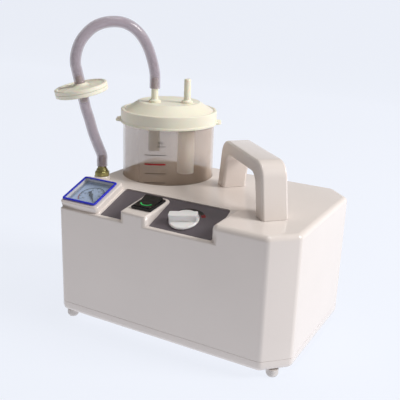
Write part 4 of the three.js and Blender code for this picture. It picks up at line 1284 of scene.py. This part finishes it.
@dataclass
class ControlPanel:
    """The dark panel with its crescent scale, the rocker switch and the regulator knob."""

    maker: Maker
    knob_x: float = 9.8
    knob_up: float = 25.7
    knob_radius: float = 16.4
    knob_seat: float = -0.8
    knob_base: float = 2.5
    grip_rise: float = 6.9
    grip_half_width: float = 5.5
    grip_taper: float = 0.16
    knob_turn: float = 17.0
    panel_face: float = -1.1
    print_rise: float = 0.06
    print_depth: float = 0.1
    scale_gap: float = 2.0
    scale_widths: tuple[float, float] = (0.4, 4.2)
    scale_span: tuple[float, float] = (200.0, 47.0)
    scale_end_width: float = 4.6
    scale_end_span: tuple[float, float] = (46.0, 32.0)
    green_arc_radii: tuple[float, float] = (6.2, 7.6)
    green_arc_span: tuple[float, float] = (200.0, 340.0)
    green_arc_shift: float = -1.4
    green_arc_heights: tuple[float, float] = (-0.2, 0.12)
    rocker_pivot: Colour = (-36.5, -70.5, 150.531)
    rocker_tilt: float = 13.7
    rocker_middle: float = 3.4
    rocker_slope: float = 0.1304

    def knob(self) -> None:
        """The knob: a turned skirt, and a bar grip trimmed to the skirt's circle."""
        place = SLOPE.moved(self.knob_x, self.knob_up, self.knob_turn)
        seat, radius = self.knob_seat, self.knob_radius
        base = seat + self.knob_base
        top = base + self.grip_rise
        corners = [
            [0, seat], [radius - 0.4, seat], [radius, base - 1.2], [radius - 0.9, base],
            [0, base + 0.2],
        ]
        skirt = rounded(corners, [0, 0.3, 0.6, 0.6, 0])
        mesh = turned("regulator_knob_skirt", skirt, place, 128)
        self.maker.piece(mesh, Body.KNOB, "knob_white", ["regulator_knob"])
        loops = block_loops(radius, self.grip_half_width, 2.6, base - 1.0, top, 1.6, 6)
        reach = np.sqrt((radius - 0.6) ** 2 - loops[..., 1] ** 2)
        rise = (loops[..., 2] - base) / self.grip_rise
        loops[..., 0] = np.clip(loops[..., 0], -reach, reach)
        loops[..., 1] *= 1 - self.grip_taper * np.clip(rise, 0, 1)
        grip = lofted("regulator_knob_grip", loops, place)
        self.maker.piece(grip, Body.KNOB, "knob_white")

    def scale(self) -> None:
        """The crescent that widens clockwise round the knob, with its red end."""
        place = SLOPE.moved(self.knob_x, self.knob_up)
        bottom, top = self.panel_face - self.print_depth, self.panel_face + self.print_rise
        inner = self.knob_radius + self.scale_gap
        body = arc_band(inner, inner + np.linspace(*self.scale_widths, 48), *self.scale_span)
        end = arc_band(inner, inner + self.scale_end_width, *self.scale_end_span)
        for name, band, paint in (
            ("panel_scale", body, "crescent_black"), ("panel_scale_end", end, "scale_red")
        ):
            mesh = flat(name, band, bottom, top, place)
            self.maker.piece(mesh, Body.CASING, "panel_grey", paint=paint)

    def switch(self) -> None:
        """The frame and rocker, and the green printed arc on the rocker's face, which has a painted
        glow.

        The face rises from the rocker's middle by its slope times the distance along it.
        """
        self.maker.copied("switch_body", Body.CASING, "black_plastic", bevel=0.25)
        self.maker.copied("switch_rocker", Body.ROCKER, "switch_black", bevel=0.4, sharp=50.0)
        # The green arc is print; its glow is painted light from its finish, not a lamp
        arc = arc_band(*self.green_arc_radii, *self.green_arc_span) + [0.0, self.green_arc_shift]
        face = self.rocker_middle + self.rocker_slope * np.abs(arc[:, 1])
        loops = np.stack([np.column_stack([arc, face + rise]) for rise in self.green_arc_heights])
        mesh = lofted("switch_painted_glow_arc", loops, tilted(*self.rocker_pivot, self.rocker_tilt))
        self.maker.piece(mesh, Body.ROCKER, "switch_black", paint="green_print_painted_glow")

    def build(self) -> None:
        """Makes the panel's pieces."""
        self.maker.copied("control_panel", Body.CASING, "panel_grey", bevel=0.2)
        self.switch()
        self.scale()
        self.knob()


# ---- Vacuum gauge -------------------------------------------------------------------------------


@dataclass
class VacuumGauge:
    """The square gauge: blue frame, clear lens, printed dial and needle."""

    maker: Maker
    x: float = -114.2
    up: float = 29.8
    half: float = 22.75
    opening: float = 21.05
    frame_bottom: float = 7.8
    frame_top: float = 9.6
    dial: float = 1.8
    scale_radius: float = 14.6
    first: float = -45.0
    sweep: float = 270.0
    divisions: int = 10
    number_inset: float = 4.9
    number_size: float = 2.6
    arc_width: float = 0.9
    print_rise: float = 0.08
    print_depth: float = 0.05
    small_ticks: int = 5
    tick_lengths: tuple[float, float] = (3.0, 1.5)
    tick_half_widths: tuple[float, float] = (0.28, 0.16)
    hand_heights: tuple[float, float] = (2.5, 3.0)

    @property
    def place(self) -> Placement:
        """The gauge's own plane."""
        return SLOPE.moved(self.x, self.up)

    def ring(self) -> None:
        """The blue frame: a square band with rounded corners and edges."""
        outer, inner = (
            block_loops(half, half, corner, self.frame_bottom, self.frame_top, edge, 4)
            for half, corner, edge in ((self.half, 2.4, 0.5), (self.opening, 0.9, 0.3))
        )
        mesh = looped("gauge_frame_band", self.place(np.concatenate([outer, inner[::-1]])))
        self.maker.piece(mesh, Body.CASING, "gauge_blue", ["gauge_frame"])

    def marks(self) -> None:
        """The printed arcs, ticks and numbers."""
        bottom, top = self.dial - self.print_depth, self.dial + self.print_rise
        for name, start, end, paint in (
            ("gauge_arc_black", -45.0, 180.0, "scale_black"),
            ("gauge_arc_red", 181.0, 226.0, "mark_red"),
        ):
            band = arc_band(self.scale_radius, self.scale_radius + self.arc_width, start, end, 64)
            mesh = flat(name, band, bottom, top, self.place)
            self.maker.piece(mesh, Body.CASING, "dial_card", paint=paint)
        mesh = self.ticks(bottom, top)
        self.maker.piece(mesh, Body.CASING, "dial_card", paint="scale_black")
        for index in range(0, self.divisions + 1, 2):
            angle = math.radians(self.first + self.sweep * index / self.divisions)
            reach = self.scale_radius - self.number_inset
            spot = [math.cos(angle) * reach, math.sin(angle) * reach, top]
            place = Placement(self.place(np.array(spot)), self.place.turn)
            name = f"gauge_number_{index:02d}"
            mesh = lettering(name, str(index * 10), self.number_size, place)
            self.maker.piece(mesh, Body.CASING, "dial_card", paint="scale_black")

    def ticks(self, bottom: float, top: float) -> bpy.types.Mesh:
        """All the ticks as one mesh: slim boxes turned about the dial's middle.

        Args:
            bottom: the height of their undersides.
            top: the height of their faces.

        Returns:
            The mesh.
        """
        index = np.arange(self.divisions * self.small_ticks + 1)
        turn = np.radians(self.first + self.sweep * index / index[-1])[:, None]
        long = (index % self.small_ticks == 0)[:, None]
        inner = self.scale_radius - np.where(long, *self.tick_lengths)
        wide = np.where(long, *self.tick_half_widths)
        outer = np.full_like(inner, self.scale_radius)
        run = np.hstack([inner, outer, outer, inner] * 2)
        side = np.hstack([-wide, -wide, wide, wide] * 2)
        height = np.broadcast_to(np.repeat([bottom, top], 4), run.shape)
        x = run * np.cos(turn) - side * np.sin(turn)
        y = run * np.sin(turn) + side * np.cos(turn)
        sides = [[k, (k + 1) % 4, (k + 1) % 4 + 4, k + 4] for k in range(4)]
        box = np.array([[0, 1, 2, 3], [4, 5, 6, 7], *sides])
        faces = (box[None] + 8 * index[:, None, None]).reshape(-1, 4)
        points = np.stack([x, y, height], axis=-1).reshape(-1, 3)
        return mesh_of("gauge_ticks", self.place(points), faces.tolist())

    def needle(self) -> None:
        """The tapered needle with its tail and domed cap, turned to the start of the scale."""
        place = self.place.moved(0, 0, self.first)
        side = np.array([[-7.5, -2.3], [-3, -1.2], [0, -1.5], [13.6, -0.35]])
        outline = np.vstack([side, side[::-1] * [1, -1]])
        hand = flat("gauge_needle_hand", outline, *self.hand_heights, place)
        self.maker.piece(hand, Body.NEEDLE, "needle_black", ["gauge_needle"])
        corners = [[0, -2.0], [0.7, -2.0], [0.7, 2.3], [2.3, 2.3], [2.3, 3.4], [0, 3.9]]
        cap = rounded(corners, [0, 0, 0, 0.1, 0.6, 0])
        mesh = turned("gauge_needle_cap", cap, place, 48)
        self.maker.piece(mesh, Body.NEEDLE, "needle_black")

    def build(self) -> None:
        """Makes the gauge's pieces."""
        self.ring()
        self.marks()
        self.needle()
        self.maker.copied("gauge_lens", Body.CASING, "lens_clear", bevel=0.5)


def lettering(
    name: str, text: str, size: float, place: Callable[[Array], Array]
) -> bpy.types.Mesh:
    """Numbers as a thin mesh, centred on the origin and then placed.

    Args:
        name: the mesh's name.
        text: the digits.
        size: the height of the type in millimetres.
        place: turns n by 3 points in millimetres into the frame.

    Returns:
        The mesh.
    """
    type_ = bpy.data.curves.new(name, "FONT")
    type_.body, type_.size = text, size
    type_.align_x, type_.align_y = "CENTER", "CENTER"
    type_.extrude = 0.04
    type_.resolution_u = 3
    holder = bpy.data.objects.new(name + "_type", type_)
    bpy.context.scene.collection.objects.link(holder)
    bpy.context.view_layer.update()
    depsgraph = bpy.context.evaluated_depsgraph_get()
    mesh = bpy.data.meshes.new_from_object(holder.evaluated_get(depsgraph))
    bpy.data.objects.remove(holder)
    mesh.name = name
    points = np.empty(len(mesh.vertices) * 3)
    mesh.vertices.foreach_get("co", points)
    placed = place(points.reshape(-1, 3)) * MM
    mesh.vertices.foreach_set("co", placed.ravel())
    mesh.update()
    return mesh


# ---- Collection jar -----------------------------------------------------------------------------


@dataclass
class CollectionJar:
    """The jar with its printed marks, the lid with its spigots, and what hangs under the lid."""

    maker: Maker
    x: float = -79.0
    y: float = 37.3
    radius: float = 55.2
    wall: float = 2.5
    bottom: float = 97.3
    top: float = 229.5
    floor: float = 3.0
    skirt_radius: float = 57.7
    skirt_bottom: float = 219.8
    shoulder: float = 234.8
    lid_top: float = 244.8
    lid_flat: float = 37.2
    lid_shell: float = 3.0
    view_turn: float = 28.4
    vacuum_port: tuple[float, float] = (-88.0, 19.08)
    patient_port: tuple[float, float] = (-54.82, 38.51)
    first_mark: float = 112.5
    mark_step: float = 11.0
    mark_count: int = 9
    red_mark: int = 6
    mark_slant: float = 3.6
    mark_start: float = -88.0
    top_mark_start: float = -72.0
    mark_end: float = -61.5
    mark_width: float = 0.7
    red_mark_width: float = 2.0
    print_gap: float = 0.02
    print_face: float = 0.1
    number_size: float = 4.0
    number_angle: float = -68.0
    number_rise: float = 4.5
    number_gap: float = 0.06
    tab_reach: float = 6.0
    tab_half_length: float = 10.0
    tab_half_width: float = 11.0
    tab_thickness: float = 2.6
    spigot_height: float = 28.3
    spigot_bore: float = 2.3
    tube_length: float = 55.0
    tube_radii: tuple[float, float] = (5.2, 7.0)
    guide_length: float = 82.0
    guide_radii: tuple[float, float] = (8.4, 10.2)
    guide_lip: tuple[float, float] = (4.0, 3.0)

    @property
    def axis(self) -> Placement:
        """The level plane on the jar's axis."""
        return upright(self.x, self.y)

    def jar(self) -> None:
        """The jar: a thin wall with a rounded foot, a raised middle and a rounded mouth."""
        inside, foot = self.radius - self.wall, self.bottom
        radius, floor = self.radius, foot + self.floor
        corners = [
            [0, foot + 1.2], [radius - 8, foot + 1.2], [radius - 9, foot], [radius, foot],
            [radius, self.top], [inside, self.top], [inside, floor], [0, floor + 0.8],
        ]
        profile = rounded(corners, [0, 0.6, 0.6, 4.0, 0.9, 0.9, 4.0, 0], 8)
        mesh = turned("collection_jar_wall", profile, self.axis, 160)
        self.maker.piece(mesh, Body.JAR, "jar_clear", ["collection_jar"])

    def wrapped(
        self, name: str, height: float, thick: float, start: float, end: float
    ) -> bpy.types.Mesh:
        """A printed line bent round the jar: (R cos a, R sin a, z + slant (a - start)).

        Args:
            name: the mesh's name.
            height: the height of its start.
            thick: its width.
            start: its first angle in degrees.
            end: its last angle in degrees.

        Returns:
            The mesh.
        """
        angle = np.radians(np.linspace(start, end, 40))
        near, far = self.radius + self.print_gap, self.radius + self.print_face
        half = thick / 2
        out, up = np.array([[near, -half], [far, -half], [far, half], [near, half]]).T
        angle = angle[:, None]
        rise = height + self.mark_slant * (angle - angle[0]) + up
        loops = np.stack([np.cos(angle) * out, np.sin(angle) * out, rise], axis=-1)
        return lofted(name, loops, self.axis)

    def marks(self) -> None:
        """Nine volume lines, a red one among them, and a plain number over the top one."""
        last = self.mark_count - 1
        for index in range(self.mark_count):
            height = self.first_mark + self.mark_step * index
            red = index == self.red_mark
            start = self.top_mark_start if index == last else self.mark_start
            width = self.red_mark_width if red else self.mark_width
            mesh = self.wrapped(f"jar_mark_{index + 1}", height, width, start, self.mark_end)
            self.maker.piece(mesh, Body.JAR, "jar_clear", paint="mark_red" if red else "mark_black")
        over_top_mark = self.first_mark + self.mark_step * last + self.number_rise
        place = self.wrap_at(self.number_angle, over_top_mark)
        number = lettering("jar_number", "900", self.number_size, place)
        self.maker.piece(number, Body.JAR, "jar_clear", paint="mark_black")

    def wrap_at(self, degrees: float, height: float) -> Callable[[Array], Array]:
        """A rule that bends flat type round the jar.

        Args:
            degrees: the angle of the type's middle.
            height: the height of its middle.

        Returns:
            The rule, from points of the type to points of the frame.
        """

        def bend(type_: Array) -> Array:
            """Turns the type's x into an angle and its depth into a radius."""
            angle = math.radians(degrees) + type_[:, 0] / self.radius
            out = self.radius + self.number_gap + type_[:, 2]
            around = [out * np.cos(angle), out * np.sin(angle), type_[:, 1] + height]
            return self.axis(np.column_stack(around))

        return bend

    def lid(self) -> None:
        """The lid: a skirt with a rolled lower edge, a raised rim, a cone and a flat middle."""
        inside, skirt, low = self.radius + 0.3, self.skirt_radius, self.skirt_bottom
        top, shoulder, shell = self.lid_top, self.shoulder, self.lid_shell
        corners = [
            [0, top], [self.lid_flat, top], [skirt - 4.4, shoulder - 0.2],
            [skirt - 2.6, shoulder + 0.8], [skirt, shoulder + 0.6], [skirt, low + 2.6],
            [skirt + 0.7, low + 2.2], [skirt + 0.7, low], [inside, low], [inside, shoulder - shell],
            [skirt - 10, shoulder - shell], [self.lid_flat - 1, top - shell], [0, top - shell],
        ]
        radii = [0, 1.5, 1.0, 0.5, 1.0, 0.3, 0.3, 0.3, 0.2, 0.3, 2.0, 2.0, 0]
        mesh = turned("jar_lid_cap", rounded(corners, radii), self.axis, 160)
        self.maker.piece(mesh, Body.LID, "lid_cream", ["jar_lid"])
        for index, turn in enumerate((self.view_turn, self.view_turn + 180.0)):
            loops = block_loops(
                self.tab_half_length, self.tab_half_width, 5.0, low, low + self.tab_thickness, 0.8
            )
            loops[..., 0] += skirt + self.tab_reach - self.tab_half_length
            spread = np.hypot(loops[..., 0], loops[..., 1])
            push = np.maximum(1.0, (skirt - 1.4) / spread)
            loops[..., :2] *= push[..., None]
            mesh = lofted(f"jar_lid_tab_{index + 1}", loops, self.axis.moved(0, 0, turn))
            self.maker.piece(mesh, Body.LID, "lid_cream")

    def spigot(self, node: str, port: tuple[float, float]) -> None:
        """A spigot: a flange, a fillet and a slightly tapered tube with a rounded mouth.

        Args:
            node: the node that it stands for.
            port: the place of its axis.
        """
        seat, bore = self.lid_top + 0.02, self.spigot_bore
        top = self.lid_top + self.spigot_height
        corners = [
            [bore, seat - 6], [3.4, seat - 6], [3.4, seat], [7.0, seat], [7.0, seat + 2.2],
            [4.2, seat + 3.6], [4.0, top - 1.2], [3.4, top], [bore, top],
        ]
        profile = rounded(corners, [0, 0, 0, 0.4, 0.8, 1.2, 0.4, 0.4, 0.3])
        mesh = turned(node + "_turned", profile, upright(*port), 64)
        self.maker.piece(mesh, Body.LID, "lid_cream", [node])

    def tubes(self) -> None:
        """The short grey tube and the float's wide guide, which has an inward lip below."""
        top = self.lid_top - self.lid_shell - 0.3
        low, (bore, out) = top - self.tube_length, self.tube_radii
        short = [[bore, low], [out, low], [out, top], [bore, top]]
        low, (bore, out), (lip, rise) = top - self.guide_length, self.guide_radii, self.guide_lip
        rise += low
        wide = [[lip, low], [out, low], [out, top], [bore, top], [bore, rise], [lip, rise]]
        for node, corners, port, slot in (
            ("vacuum_inner_tube", short, self.vacuum_port, "tube_grey"),
            ("float_guide", wide, self.patient_port, "tube_white"),
        ):
            profile = rounded(corners, [0.4] * len(corners), 4)
            mesh = turned(node + "_wall", profile, upright(*port), 64)
            self.maker.piece(mesh, Body.LID, slot, [node])

    def build(self) -> None:
        """Makes the jar's pieces."""
        self.jar()
        self.marks()
        self.lid()
        self.spigot("vacuum_spigot", self.vacuum_port)
        self.spigot("patient_spigot", self.patient_port)
        self.tubes()
        self.maker.copied("jar_gasket", Body.LID, "gasket_white")
        self.maker.copied("jar_well", Body.CASING, "casing_white")
        self.maker.copied("overflow_float", Body.FLOAT, "float_red")


# ---- Back and inside ----------------------------------------------------------------------------


@dataclass
class BackAndInside:
    """The mains inlet and fuse in the back wall; every other node keeps its own mesh in its slot's
    finish.
    """

    maker: Maker
    soft_blocks: tuple[tuple[str, Body, str, float], ...] = (
        ("power_inlet", Body.CASING, "black_plastic", 0.3),
        ("inlet_pin_line", Body.CASING, "brass", 0.3),
        ("inlet_pin_neutral", Body.CASING, "brass", 0.3),
        ("inlet_pin_earth", Body.CASING, "brass", 0.3),
        ("fuse_holder", Body.CASING, "black_plastic", 0.2),
        ("fuse_cap", Body.FUSE, "black_plastic", 0.2),
    )

    def build(self) -> None:
        """Rounds the edges of what shows from behind; the rest keeps its own mesh."""
        for node, body, slot, bevel in self.soft_blocks:
            self.maker.copied(node, body, slot, bevel=bevel)
        self.maker.dress_rest()


def main() -> None:
    """Builds the studio and every piece, in order."""
    logging.basicConfig(level=logging.INFO, format="%(name)s %(message)s")
    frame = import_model()
    Studio().build()
    maker = Maker(frame)
    for kind in (HoseLine, Casing, ControlPanel, VacuumGauge, CollectionJar, BackAndInside):
        LOG.info("building %s", kind.__name__)
        kind(maker).build()


if __name__ == "__main__":
    main()
